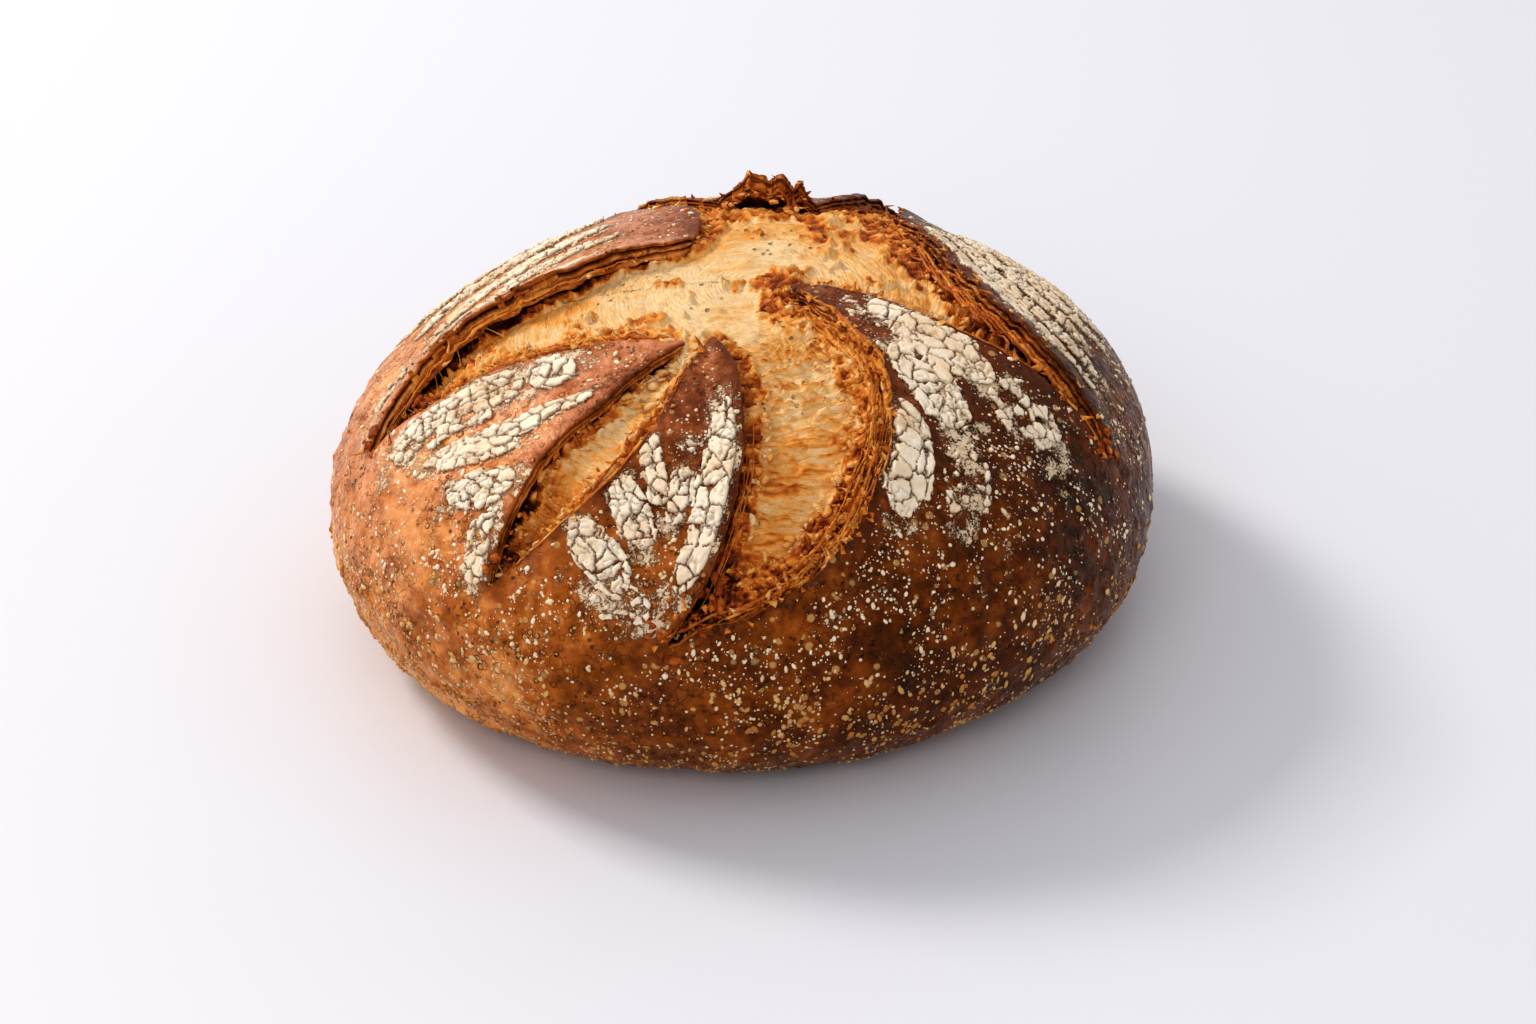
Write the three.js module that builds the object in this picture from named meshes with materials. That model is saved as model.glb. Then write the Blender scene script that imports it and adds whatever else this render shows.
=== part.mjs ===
// A round, hand-scored sourdough loaf, baked as one piece. Millimetres, +Z up, with the origin
// at the middle of its footprint on the table.
//
// The loaf is a turned profile with a slightly oval plan. Six slashes run out from the crown. They
// burst open in the oven into one star-shaped opening, and the skin between them is left as six
// petals. Each petal edge lifts into a lip (an "ear"), and the opening's floor lies below it.
import * as THREE from "three";
import { mergeVertices } from "three/addons/utils/BufferGeometryUtils.js";

// ---- Driving sizes, in millimetres ----
const RADIUS = 120; // plan radius at the widest, averaged round the loaf
const HEIGHT = 104; // table to crown, before the slashes open
const WIDEST_Z = 37; // height of the widest part above the table
const BASE_RADIUS = 87; // flat that the loaf stands on
const LIP_WIDTH = 9; // how far a lip's lift runs back into its petal
const WALL_WIDTH = 4.5; // from a lip down to the floor; a narrower opening is shallower too
const LUMP_HEIGHT = 0.8; // hand-shaped unevenness of the whole skin

// ---- Shape of the turned profile and of the plan ----
const CROWN_FULLNESS = 2.15; // superellipse exponents: 2 is a plain ellipse, more is squarer
const HEEL_FULLNESS = 2.17;
const OVAL = { share: 0.033, turn: 43, lobes: 2 }; // longest towards the back right
const TRILOBE = { share: 0.013, turn: 90, lobes: 3 };

// ---- Mesh ----
const MESH_DETAIL = 20; // rows of triangles on each side of the icosahedron
const RIM_POLAR = 116; // degrees of the sphere given to the skin above the widest part
const SNAP_SHARE = 0.42; // a corner this share of a triangle's side from a petal's edge moves onto it
const PROFILE_POINTS = 48;
const EDGE_SAMPLES = 28;
const HALVINGS = 20; // steps in finding where a triangle's side crosses a petal's edge

// Every point on the skin is named by its angle round the loaf in degrees, from +X towards +Y, and
// its reach: 0 at the crown and 1 at the widest part, measured along the skin.
// Each petal edge starts where one ends. lift is the height of its lip and drop is how far the
// floor beside it lies below the skin, both in millimetres.
const PETAL_EDGES = [
  { name: "left petal, upper edge", lift: 0.8, drop: 1.6,
    points: [[201, 0.79], [202, 0.71], [205, 0.62], [208, 0.51], [213, 0.4], [222, 0.31], [246, 0.262]] },
  { name: "left petal, lower edge", lift: 2.6, drop: 5.5,
    points: [[246, 0.262], [239, 0.36], [237, 0.46], [234, 0.57], [234, 0.68], [234.5, 0.77], [235, 0.85]] },
  { name: "front petal, left edge", lift: 0.8, drop: 2.8,
    points: [[235, 0.85], [240, 0.74], [245.5, 0.62], [250, 0.49], [251.5, 0.36], [255, 0.24]] },
  { name: "front petal, right edge", lift: 2.4, drop: 6,
    points: [[255, 0.24], [262, 0.28], [267, 0.34], [269, 0.45], [269, 0.56], [267, 0.68], [263.5, 0.8],
      [259, 0.906]] },
  { name: "right petal, front edge", lift: 1.6, drop: 3.4,
    points: [[259, 0.906], [265, 0.86], [272, 0.83], [280, 0.775], [287, 0.7], [294, 0.61], [301, 0.52],
      [310, 0.4], [313, 0.29], [318, 0.175], [337, 0.09]] },
  { name: "right petal, back edge", lift: 1.4, drop: 4.2,
    points: [[337, 0.09], [344, 0.17], [342.5, 0.27], [339.5, 0.38], [340, 0.5], [340, 0.62], [339, 0.74],
      [338, 0.8]] },
  { name: "back right petal, front edge", lift: 3.4, drop: 6,
    points: [[338, 0.8], [342, 0.73], [345.5, 0.62], [350, 0.53], [357, 0.455], [368, 0.41], [382, 0.405],
      [396, 0.43], [410, 0.47]] },
  { name: "back right petal, back edge", lift: 2, drop: 4.5,
    points: [[50, 0.47], [58, 0.58], [61, 0.7], [62, 0.8], [62, 0.86]] },
  { name: "back petal, right edge", lift: 3, drop: 5,
    points: [[62, 0.86], [66, 0.74], [69, 0.61], [73, 0.49], [80, 0.43]] },
  { name: "back petal, front edge", lift: 9, drop: 4,
    points: [[80, 0.43], [88, 0.42], [98, 0.43]] },
  { name: "back petal, left edge", lift: 2.5, drop: 4,
    points: [[98, 0.43], [106, 0.5], [111, 0.6], [114, 0.71], [116, 0.8]] },
  { name: "back left petal, back edge", lift: 1.2, drop: 3.4,
    points: [[116, 0.8], [120, 0.68], [118, 0.55], [110, 0.43], [108, 0.33], [114, 0.25], [123, 0.205]] },
  { name: "back left petal, front edge", lift: 5, drop: 8.5,
    points: [[123, 0.205], [142, 0.2], [160, 0.27], [175, 0.35], [183, 0.45], [190, 0.56], [196, 0.66],
      [199, 0.74], [201, 0.79]] },
];

const radians = THREE.MathUtils.degToRad;

// One quarter of a superellipse, from its side (height 0) to its top (height 1), as {out, up} shares.
function quarter(fullness, share) {
  const up = Math.sin((share * Math.PI) / 2);
  return { out: (1 - up ** fullness) ** (1 / fullness), up };
}

// The loaf's half section as two curves in (radius, z): crown to widest, and widest to flat base.
function skinProfile() {
  const shares = Array.from({ length: PROFILE_POINTS + 1 }, (_, i) => i / PROFILE_POINTS);
  const above = shares.map((share) => {
    const { out, up } = quarter(CROWN_FULLNESS, 1 - share);
    return new THREE.Vector2(RADIUS * out, WIDEST_Z + (HEIGHT - WIDEST_Z) * up);
  });
  const below = shares.map((share) => {
    const { out, up } = quarter(HEEL_FULLNESS, share);
    return new THREE.Vector2(BASE_RADIUS + (RADIUS - BASE_RADIUS) * out, WIDEST_Z * (1 - up));
  });
  return { crown: new THREE.SplineCurve(above), heel: new THREE.SplineCurve(below) };
}

const profile = skinProfile();
const CROWN_LENGTH = profile.crown.getLength(); // along the skin, crown to widest part
const HEEL_REACH = 1 + profile.heel.getLength() / CROWN_LENGTH; // at the edge of the flat base
const END_REACH = HEEL_REACH + BASE_RADIUS / CROWN_LENGTH; // at the middle of the flat base
const ICOSAHEDRON_SIDE = 63.4; // degrees of its sphere that one side spans
const TRIANGLE_SIDE = (ICOSAHEDRON_SIDE / (MESH_DETAIL + 1) / RIM_POLAR) * CROWN_LENGTH;

// Point and outward normal of the turned profile at a reach, in (radius, z).
function onProfile(reach) {
  if (reach >= HEEL_REACH) {
    const out = Math.max(END_REACH - reach, 0) * CROWN_LENGTH;
    return { point: new THREE.Vector2(out, 0), normal: new THREE.Vector2(0, -1) };
  }
  const [curve, share] =
    reach <= 1 ? [profile.crown, reach] : [profile.heel, (reach - 1) / (HEEL_REACH - 1)];
  const tangent = curve.getTangentAt(share);
  return { point: curve.getPointAt(share), normal: new THREE.Vector2(-tangent.y, tangent.x) };
}

function planScale(angle) {
  const wave = ({ share, turn, lobes }) => share * Math.cos(lobes * (angle - radians(turn)));
  return 1 + wave(OVAL) + wave(TRILOBE);
}

// The skin unrolled round the crown: the distance along it, in the direction of its angle.
function unrolled(angle, reach) {
  return new THREE.Vector2(Math.cos(angle), Math.sin(angle)).multiplyScalar(reach * CROWN_LENGTH);
}

const edges = PETAL_EDGES.map(({ lift, drop, points }) => {
  const spots = points.map(([degrees, reach]) => unrolled(radians(degrees), reach));
  return { lift, drop, samples: new THREE.SplineCurve(spots).getPoints(EDGE_SAMPLES) };
});
const outline = edges.flatMap(({ samples }) => samples.slice(0, -1));

function isOpen(spot) {
  let inside = false;
  outline.forEach((a, i) => {
    const b = outline[(i + 1) % outline.length];
    const crosses = a.y > spot.y !== b.y > spot.y;
    if (crosses && spot.x < ((b.x - a.x) * (spot.y - a.y)) / (b.y - a.y) + a.x) inside = !inside;
  });
  return inside;
}

// The nearest point on one edge, its distance, and the height of the lip there, which dies away
// towards both ends of the edge.
function nearestOn({ samples, lift, drop }, spot) {
  let best = { distance: Infinity };
  for (let i = 0; i < EDGE_SAMPLES; i += 1) {
    const along = samples[i + 1].clone().sub(samples[i]);
    const share = THREE.MathUtils.clamp(spot.clone().sub(samples[i]).dot(along) / along.lengthSq(), 0, 1);
    const at = samples[i].clone().addScaledVector(along, share);
    const distance = at.distanceTo(spot);
    if (distance < best.distance) best = { distance, at, run: (i + share) / EDGE_SAMPLES };
  }
  return { ...best, drop, lip: lift * Math.sqrt(Math.sin(Math.PI * Math.min(best.run, 1))) };
}

function nearestEdges(spot) {
  return edges.map((edge) => nearestOn(edge, spot)).sort((a, b) => a.distance - b.distance);
}

// A corner of the mesh, named by its unrolled spot and by its side of the opening's outline: 1 in
// the opening, -1 on the skin and 0 on a petal's edge.
function cornerAt(direction) {
  const polar = direction.angleTo(new THREE.Vector3(0, 0, 1));
  const rim = radians(RIM_POLAR);
  const reach = polar <= rim
    ? polar / rim
    : THREE.MathUtils.lerp(1, END_REACH, (polar - rim) / (Math.PI - rim));
  const spot = unrolled(Math.atan2(direction.y, direction.x), reach);
  const [near] = nearestEdges(spot);
  if (near.distance < SNAP_SHARE * TRIANGLE_SIDE) return { spot: near.at, side: 0 };
  return { spot, side: isOpen(spot) ? 1 : -1 };
}

// Where the line between two corners crosses the outline.
function crossing(from, to) {
  let [open, closed] = from.side > 0 ? [from.spot, to.spot] : [to.spot, from.spot];
  for (let i = 0; i < HALVINGS; i += 1) {
    const middle = open.clone().lerp(closed, 0.5);
    if (isOpen(middle)) open = middle;
    else closed = middle;
  }
  return { spot: closed, side: 0 };
}

// Cuts the triangles that the outline crosses, so that every lip is a chain of triangle sides.
function cutAlongOutline(corners, triangles) {
  const cuts = new Map();
  const crossed = (i, j) => corners[i].side * corners[j].side < 0;
  const cut = (i, j) => {
    const key = [i, j].sort().join();
    if (!cuts.has(key)) cuts.set(key, corners.push(crossing(corners[i], corners[j])) - 1);
    return cuts.get(key);
  };
  const pieces = (a, b, c) => {
    if (crossed(a, b) && crossed(a, c)) {
      return [[a, cut(a, b), cut(a, c)], [cut(a, b), b, c], [cut(a, b), c, cut(a, c)]];
    }
    return crossed(b, c) && corners[a].side === 0 ? [[a, b, cut(b, c)], [a, cut(b, c), c]] : null;
  };
  return triangles.flatMap(
    ([a, b, c]) => pieces(a, b, c) ?? pieces(b, c, a) ?? pieces(c, a, b) ?? [[a, b, c]]);
}

// Height of the skin or the opening's floor above the turned profile.
function riseAt({ spot, side }) {
  const near = nearestEdges(spot);
  const [{ distance, lip }] = near;
  if (side === 0) return lip;
  if (side < 0) return lip * Math.exp(-((distance / LIP_WIDTH) ** 2));
  const pull = near.reduce((sum, edge) => sum + edge.distance ** -2, 0);
  const drop = near.reduce((sum, edge) => sum + edge.drop * edge.distance ** -2, 0) / pull;
  return THREE.MathUtils.lerp(lip, -drop, THREE.MathUtils.smoothstep(distance, 0, WALL_WIDTH));
}

// Slow waves over the hand-shaped skin, fading out before the flat base.
function lumpAt(angle, reach) {
  const fade = THREE.MathUtils.smoothstep(HEEL_REACH - reach, 0, 0.25);
  const waves = Math.sin(3 * angle + 5 * reach) + Math.sin(5 * angle - 9 * reach + 1);
  return (LUMP_HEIGHT / 2) * fade * waves;
}

// A corner's place in space.
function placeOf(corner) {
  const angle = corner.spot.angle();
  const reach = corner.spot.length() / CROWN_LENGTH;
  const rise = riseAt(corner) + lumpAt(angle, reach);
  const { point, normal } = onProfile(reach);
  const out = (point.x + normal.x * rise) * planScale(angle);
  const z = Math.max(point.y + normal.y * rise, 0);
  return [out * Math.cos(angle), out * Math.sin(angle), z];
}

function loafGeometry() {
  const sphere = new THREE.IcosahedronGeometry(1, MESH_DETAIL);
  sphere.deleteAttribute("normal");
  sphere.deleteAttribute("uv");
  const ball = mergeVertices(sphere);
  const places = ball.getAttribute("position");
  const corners = Array.from({ length: places.count }, (_, i) =>
    cornerAt(new THREE.Vector3().fromBufferAttribute(places, i)));
  const index = Array.from(ball.index.array);
  const triangles = Array.from({ length: index.length / 3 }, (_, i) => index.slice(3 * i, 3 * i + 3));

  const geometry = new THREE.BufferGeometry();
  geometry.setIndex(cutAlongOutline(corners, triangles).flat());
  geometry.setAttribute("position", new THREE.Float32BufferAttribute(corners.flatMap(placeOf), 3));
  geometry.computeBoundingBox();
  const middle = geometry.boundingBox.getCenter(new THREE.Vector3());
  geometry.translate(-middle.x, -middle.y, 0);
  geometry.computeVertexNormals();
  return geometry;
}

const crust = new THREE.MeshStandardMaterial({
  name: "baked_crust",
  color: new THREE.Color(0.56, 0.29, 0.12),
  roughness: 0.6,
  metalness: 0,
});

const loaf = new THREE.Mesh(loafGeometry(), crust);
loaf.name = "loaf";

const part = new THREE.Group();
part.add(loaf);
export default part;
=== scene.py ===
import math

import bmesh
import bpy
import numpy as np
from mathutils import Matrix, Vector, kdtree


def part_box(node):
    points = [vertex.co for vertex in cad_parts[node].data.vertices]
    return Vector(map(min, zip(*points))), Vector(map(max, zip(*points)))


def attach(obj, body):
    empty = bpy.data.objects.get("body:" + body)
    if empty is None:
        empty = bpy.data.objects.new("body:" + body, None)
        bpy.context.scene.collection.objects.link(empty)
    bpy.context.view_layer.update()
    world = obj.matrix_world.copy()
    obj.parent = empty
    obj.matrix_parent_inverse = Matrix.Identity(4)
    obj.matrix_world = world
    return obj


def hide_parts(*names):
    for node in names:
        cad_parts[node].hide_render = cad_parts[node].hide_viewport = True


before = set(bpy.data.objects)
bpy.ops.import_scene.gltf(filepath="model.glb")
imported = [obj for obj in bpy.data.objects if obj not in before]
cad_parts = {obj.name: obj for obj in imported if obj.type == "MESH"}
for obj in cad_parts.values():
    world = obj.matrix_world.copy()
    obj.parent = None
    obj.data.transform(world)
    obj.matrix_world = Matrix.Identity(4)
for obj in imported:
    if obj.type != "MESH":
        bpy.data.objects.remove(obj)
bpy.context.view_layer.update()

# A round sourdough loaf, scored by hand. Everything on it is shaped flat, in millimetres, on the
# loaf's skin unrolled round the crown: x and y are a spot on that sheet and z is how far it stands
# above the plain skin. wrap() then bends the sheet round the loaf.

# ---- The loaf's own sizes, in millimetres ----
RADIUS = 120
HEIGHT = 104
WIDEST_Z = 37
BASE_RADIUS = 87
CROWN_FULLNESS = 2.15
HEEL_FULLNESS = 2.17
OVAL = (0.033, 43, 2)  # share of the radius, turn in degrees, number of lobes
TRILOBE = (0.013, 90, 3)
LUMP_HEIGHT = 0.8
LIP_WIDTH = 8

# ---- Mesh fineness ----
SKIN_SEGMENTS = 306
SKIN_FINENESS = 0.74  # below 1 the skin's mesh is finer at the crown than at the heel
CRUMB_STEP = 0.6
FLOUR_STEP = 0.36
OUTLINE_STEP = 0.5

rng = np.random.default_rng(22)

# Each petal edge starts where one ends. Its points are (degrees round the loaf, reach), where the
# reach is 0 at the crown and 1 at the widest part. fringe is how wide the crumb is shaggy along
# it, lift the height of its lip, drop how far the crumb lies below the skin (crumb_floor makes the
# deep ones shallower), rag how unevenly it tore, shelf how far the second skin under the lip
# sticks out, and burn how dark it baked.
PETAL_EDGES = [
    dict(name="left petal, upper", fringe=8, lift=0.8, drop=1.6, rag=0.7, shelf=0.2, burn=0.2,
         points=[
        (201, 0.79), (202, 0.71), (205, 0.62), (208, 0.51), (213, 0.4), (222, 0.31), (246, 0.262)]),
    dict(name="left petal, lower", fringe=5, lift=2.6, drop=5.5, rag=0.5, shelf=0.5, burn=0.5, points=[
        (246, 0.262), (239, 0.36), (237, 0.46), (234, 0.57), (234, 0.68), (234.5, 0.77), (235, 0.85)]),
    dict(name="front petal, left", fringe=6, lift=0.8, drop=2.8, rag=0.9, shelf=0.3, burn=0.35, points=[
        (235, 0.85), (240, 0.74), (245.5, 0.62), (250, 0.49), (251.5, 0.36), (255, 0.24)]),
    dict(name="front petal, right", fringe=8, lift=2.4, drop=5.5, rag=0.35, shelf=0.5, burn=0.5, points=[
        (255, 0.24), (262, 0.28), (267, 0.34), (269, 0.45), (269, 0.56), (267, 0.68), (263.5, 0.8),
        (259, 0.906)]),
    dict(name="right petal, front", fringe=13, lift=1.6, drop=3.4, rag=2.2, shelf=1.3, burn=0.6, points=[
        (259, 0.906), (265, 0.86), (272, 0.83), (280, 0.775), (287, 0.7), (294, 0.61), (301, 0.52),
        (310, 0.4), (313, 0.29), (318, 0.175), (337, 0.09)]),
    dict(name="right petal, back", fringe=6, lift=1.4, drop=4.2, rag=0.8, shelf=0.6, burn=0.45, points=[
        (337, 0.09), (344, 0.17), (342.5, 0.27), (339.5, 0.38), (340, 0.5), (340, 0.62), (339, 0.74),
        (338, 0.8)]),
    dict(name="back right petal, front", fringe=9, lift=3.4, drop=5.5, rag=1.4, shelf=1, burn=0.6, points=[
        (338, 0.8), (342, 0.73), (345.5, 0.62), (350, 0.53), (357, 0.455), (368, 0.41), (382, 0.405),
        (396, 0.43), (410, 0.47)]),
    dict(name="back right petal, back", fringe=6, lift=2, drop=4.5, rag=1, shelf=0.6, burn=0.5, points=[
        (50, 0.47), (58, 0.58), (61, 0.7), (62, 0.8), (62, 0.86)]),
    dict(name="back petal, right", fringe=7, lift=3, drop=5, rag=1.2, shelf=0.8, burn=0.6, points=[
        (62, 0.86), (64, 0.74), (66, 0.61), (68.5, 0.49), (72, 0.425)]),
    dict(name="back petal, front", fringe=9, lift=8, drop=4, rag=2.4, shelf=1, burn=1, points=[
        (72, 0.425), (84, 0.415), (98, 0.43)]),
    dict(name="back petal, left", fringe=6, lift=2.5, drop=4, rag=1.2, shelf=0.6, burn=0.6, points=[
        (98, 0.43), (106, 0.5), (111, 0.6), (114, 0.71), (116, 0.8)]),
    dict(name="back left petal, back", fringe=6, lift=1.2, drop=3.4, rag=1, shelf=0.5, burn=0.4, points=[
        (116, 0.8), (120, 0.68), (118, 0.55), (110, 0.43), (108, 0.33), (114, 0.25), (123, 0.205)]),
    dict(name="back left petal, front", fringe=3.5, lift=5, drop=7, rag=0.5, shelf=1.5, burn=0.65, points=[
        (123, 0.205), (142, 0.2), (160, 0.27), (175, 0.35), (183, 0.45), (190, 0.56), (196, 0.66),
        (199, 0.74), (201, 0.79)]),
]

# Patches of cracked flour: (half width in mm, plate size in mm, share that has flaked off, spine).
FLOUR_LEAVES = {
    "left": [
        (6.1, 4.4, 0.035, [(216.5, 0.48), (218.5, 0.435), (220.5, 0.395)]),
        (9.2, 2.8, 0.21, [(207.5, 0.75), (209, 0.65), (212, 0.56), (215.5, 0.48)]),
        (4.1, 3.4, 0.07, [(214.5, 0.715), (220.5, 0.62), (225, 0.55), (229, 0.49), (233.5, 0.445)]),
        (4.6, 3.8, 0.035, [(217, 0.7), (222.5, 0.625), (227.5, 0.585)]),
        (5.6, 3.8, 0.07, [(222, 0.73), (228, 0.685), (232.3, 0.655)]),
        (6.1, 2.8, 0.32, [(230.5, 0.72), (232, 0.78), (232.5, 0.85)]),
    ],
    "front": [
        (3.6, 3.7, 0.03, [(250.2, 0.505), (253, 0.565), (256.5, 0.64)]),
        (5.0, 4.4, 0.02, [(247.8, 0.595), (251.5, 0.66), (256, 0.725)]),
        (5.9, 4.4, 0.04, [(243.8, 0.7), (248.5, 0.745), (254, 0.8)]),
        (6.0, 4.1, 0.02, [(265.6, 0.41), (265.8, 0.52), (265.2, 0.61), (263.6, 0.71), (260.5, 0.8)]),
        (4.0, 3.4, 0.1, [(258.3, 0.555), (258.9, 0.62), (258.5, 0.68)]),
        (3.0, 2.1, 0.5, [(257, 0.5), (261, 0.53)]),
        (5.5, 2.2, 0.5, [(249, 0.81), (254, 0.83), (258, 0.85)]),
    ],
    "right": [
        (8.6, 4.4, 0.05, [(337, 0.25), (335.5, 0.32), (332.5, 0.38), (330.5, 0.46), (330, 0.54)]),
        (10.0, 2.8, 0.5, [(330.5, 0.54), (329, 0.62), (327, 0.7)]),
        (7.8, 4.7, 0.05, [(321, 0.355), (318, 0.44), (316, 0.51), (315.3, 0.585)]),
        (8.0, 4.9, 0.03, [(305.5, 0.465), (303, 0.55), (299.5, 0.62), (294.5, 0.7)]),
        (7.1, 2.2, 0.6, [(313, 0.6), (309, 0.68), (304, 0.75)]),
    ],
    "back_right": [
        (4.0, 4.0, 0.06, [(47, 0.505), (30, 0.455), (14, 0.46), (1, 0.52), (353, 0.6), (348.5, 0.7)]),
        (4.0, 3.5, 0.1, [(46, 0.56), (28, 0.515), (14, 0.52), (3, 0.575), (357, 0.645), (353, 0.72)]),
        (4.0, 3.5, 0.12, [(46, 0.615), (28, 0.57), (15, 0.58), (6, 0.63), (1, 0.69)]),
        (4.0, 3.0, 0.25, [(46, 0.67), (30, 0.63), (17, 0.64), (9, 0.69), (5, 0.74)]),
        (4.6, 2.6, 0.4, [(46, 0.73), (32, 0.7), (20, 0.71), (12, 0.76)]),
    ],
    "back_left": [
        (2.8, 3.1, 0.1, [(181, 0.5), (172, 0.44), (163, 0.385), (153, 0.34)]),
        (3.0, 3.1, 0.1, [(184, 0.58), (174, 0.52), (163, 0.47), (150, 0.42), (136, 0.37)]),
        (3.6, 3.4, 0.1, [(180, 0.62), (168, 0.56), (156, 0.515), (143, 0.48), (130, 0.45)]),
        (3.8, 3.0, 0.2, [(176, 0.68), (162, 0.62), (148, 0.57), (135, 0.55), (124, 0.56)]),
        (4.0, 2.5, 0.4, [(170, 0.74), (158, 0.69), (146, 0.65), (134, 0.63)]),
        (3.4, 2.6, 0.2, [(189, 0.62), (185.5, 0.55), (182, 0.52)]),
        (4.6, 2.1, 0.6, [(196, 0.77), (191, 0.71), (186, 0.66)]),
    ],
    "back": [
        (5.0, 3.5, 0.15, [(84, 0.52), (82, 0.62), (78, 0.72), (74, 0.8)]),
        (5.5, 3.4, 0.2, [(95, 0.5), (97, 0.6), (100, 0.7), (103, 0.8)]),
        (4.0, 2.8, 0.3, [(89, 0.6), (89, 0.7), (89, 0.82)]),
    ],
}

# Where the crumb tore into open cells: (cell length, cell width, depth, middle line).
OPEN_CELLS = [
    (8, 4.2, 4.5, [(345, 0.36), (343, 0.52), (341, 0.68), (339, 0.78)]),
    (4, 3, 3, [(194, 0.63), (199, 0.73), (200.5, 0.78)]),
    (3.6, 2.6, 3, [(236.5, 0.7), (236, 0.77), (235.3, 0.84)]),
    (4, 3, 2.6, [(264, 0.82), (261, 0.87), (259.5, 0.9)]),
    (5, 3.4, 3, [(63, 0.66), (62.5, 0.76), (62, 0.84)]),
    (4.5, 3, 2.6, [(116, 0.6), (116.5, 0.7), (116, 0.78)]),
]


# ---- Noise and small maths ----
def lattice(cells, seed):
    """A fixed random value in -1..1 for each whole-numbered cell."""
    mixed = seed * 974634777 + cells[0] * 374761393 + cells[1] * 668265263 + cells[2] * 362437
    mixed = (mixed ^ (mixed >> 13)) * 1274126177
    mixed = mixed ^ (mixed >> 16)
    return (mixed & 0xFFFFFF) / 0x7FFFFF - 1


def noise(points, size, seed=0):
    """Smooth noise in -1..1 whose lumps are about size across."""
    scaled = points / size + 1000.0
    cell = np.floor(scaled).astype(np.int64)
    part = scaled - cell
    part = part * part * (3 - 2 * part)
    total = np.zeros(len(points))
    for corner in range(8):
        step = np.array([corner & 1, corner >> 1 & 1, corner >> 2])
        weight = np.prod(np.where(step == 1, part, 1 - part), axis=1)
        total += weight * lattice((cell + step).T, seed)
    return total


def clouds(points, size, layers=3, seed=0):
    """Noise with finer noise on top, each layer half the size and half as strong."""
    parts = [noise(points, size / 2**i, seed + 31 * i) / 2**i for i in range(layers)]
    return sum(parts) / (2 - 2 ** (1 - layers))


def ridges(points, size, layers=2, seed=0):
    """Sharp crests in 0..1."""
    parts = [(1 - abs(noise(points, size / 2**i, seed + 17 * i))) ** 2 / 2**i for i in range(layers)]
    return sum(parts) / (2 - 2 ** (1 - layers))


def smooth(value, low, high):
    share = np.clip((value - low) / (high - low), 0, 1)
    return share * share * (3 - 2 * share)


def solid(flat):
    """Flat spots with a zero third coordinate."""
    return np.column_stack([flat, np.zeros(len(flat))])


def curve(points, step):
    """A smooth curve through the points, resampled at about that step."""
    points = np.asarray(points, float)
    ends = np.vstack([2 * points[0] - points[1], points, 2 * points[-1] - points[-2]])
    shares = np.linspace(0, 1, 24, endpoint=False)[:, None]
    pieces = []
    for a, b, c, d in zip(ends, ends[1:], ends[2:], ends[3:]):
        pieces.append(0.5 * (2 * b + (c - a) * shares + (2 * a - 5 * b + 4 * c - d) * shares**2
                             + (3 * b - a - 3 * c + d) * shares**3))
    fine = np.vstack(pieces + [points[-1:]])
    run = np.concatenate([[0], np.cumsum(np.linalg.norm(np.diff(fine, axis=0), axis=1))])
    marks = np.linspace(0, run[-1], max(int(run[-1] / step), 2) + 1)
    return np.column_stack([np.interp(marks, run, fine[:, i]) for i in range(fine.shape[1])]), marks


# ---- The plain loaf and its unrolled skin ----
def turned_profile():
    share = np.linspace(0, 1, 600)
    up = np.sin(share[::-1] * math.pi / 2)
    above = np.column_stack([
        RADIUS * (1 - up**CROWN_FULLNESS) ** (1 / CROWN_FULLNESS), WIDEST_Z + (HEIGHT - WIDEST_Z) * up])
    down = np.sin(share[1:] * math.pi / 2)
    out = (1 - down**HEEL_FULLNESS) ** (1 / HEEL_FULLNESS)
    below = np.column_stack([BASE_RADIUS + (RADIUS - BASE_RADIUS) * out, WIDEST_Z * (1 - down)])
    line = np.vstack([above, below])
    run = np.concatenate([[0], np.cumsum(np.linalg.norm(np.diff(line, axis=0), axis=1))])
    tangent = np.gradient(line, run, axis=0)
    tangent /= np.linalg.norm(tangent, axis=1, keepdims=True)
    return run, line, np.column_stack([-tangent[:, 1], tangent[:, 0]])


RUN, PROFILE, PROFILE_NORMAL = turned_profile()
CROWN_LENGTH = RUN[599]
HEEL_RUN = RUN[-1]


def plan_scale(angle):
    waves = [share * np.cos(lobes * (angle - math.radians(turn))) for share, turn, lobes in (OVAL, TRILOBE)]
    return 1 + sum(waves)


def polar(flat):
    return np.arctan2(flat[:, 1], flat[:, 0]), np.hypot(flat[:, 0], flat[:, 1])


def spot(places):
    """Flat spots from (degrees, reach) pairs."""
    angle, reach = np.radians([p[0] for p in places]), np.array([p[1] for p in places]) * CROWN_LENGTH
    return np.column_stack([np.cos(angle) * reach, np.sin(angle) * reach])


def bend(flat, rise):
    """Bends flat spots, with their rise above the skin, round the loaf: millimetres, crown on the Z axis."""
    angle, run = polar(flat)
    radius, height = (np.interp(run, RUN, PROFILE[:, i]) for i in range(2))
    lean, stand = (np.interp(run, RUN, PROFILE_NORMAL[:, i]) for i in range(2))
    out = (radius + lean * rise) * plan_scale(angle)
    up = np.maximum(height + stand * rise, 0)
    return np.column_stack([out * np.cos(angle), out * np.sin(angle), up])


def lumps(flat):
    """Slow waves over the hand-shaped skin."""
    angle, run = polar(flat)
    reach = run / CROWN_LENGTH
    waves = np.sin(3 * angle + 5 * reach) + np.sin(5 * angle - 9 * reach + 1)
    return LUMP_HEIGHT / 2 * smooth(HEEL_RUN / CROWN_LENGTH - reach, 0, 0.25) * waves


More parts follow.
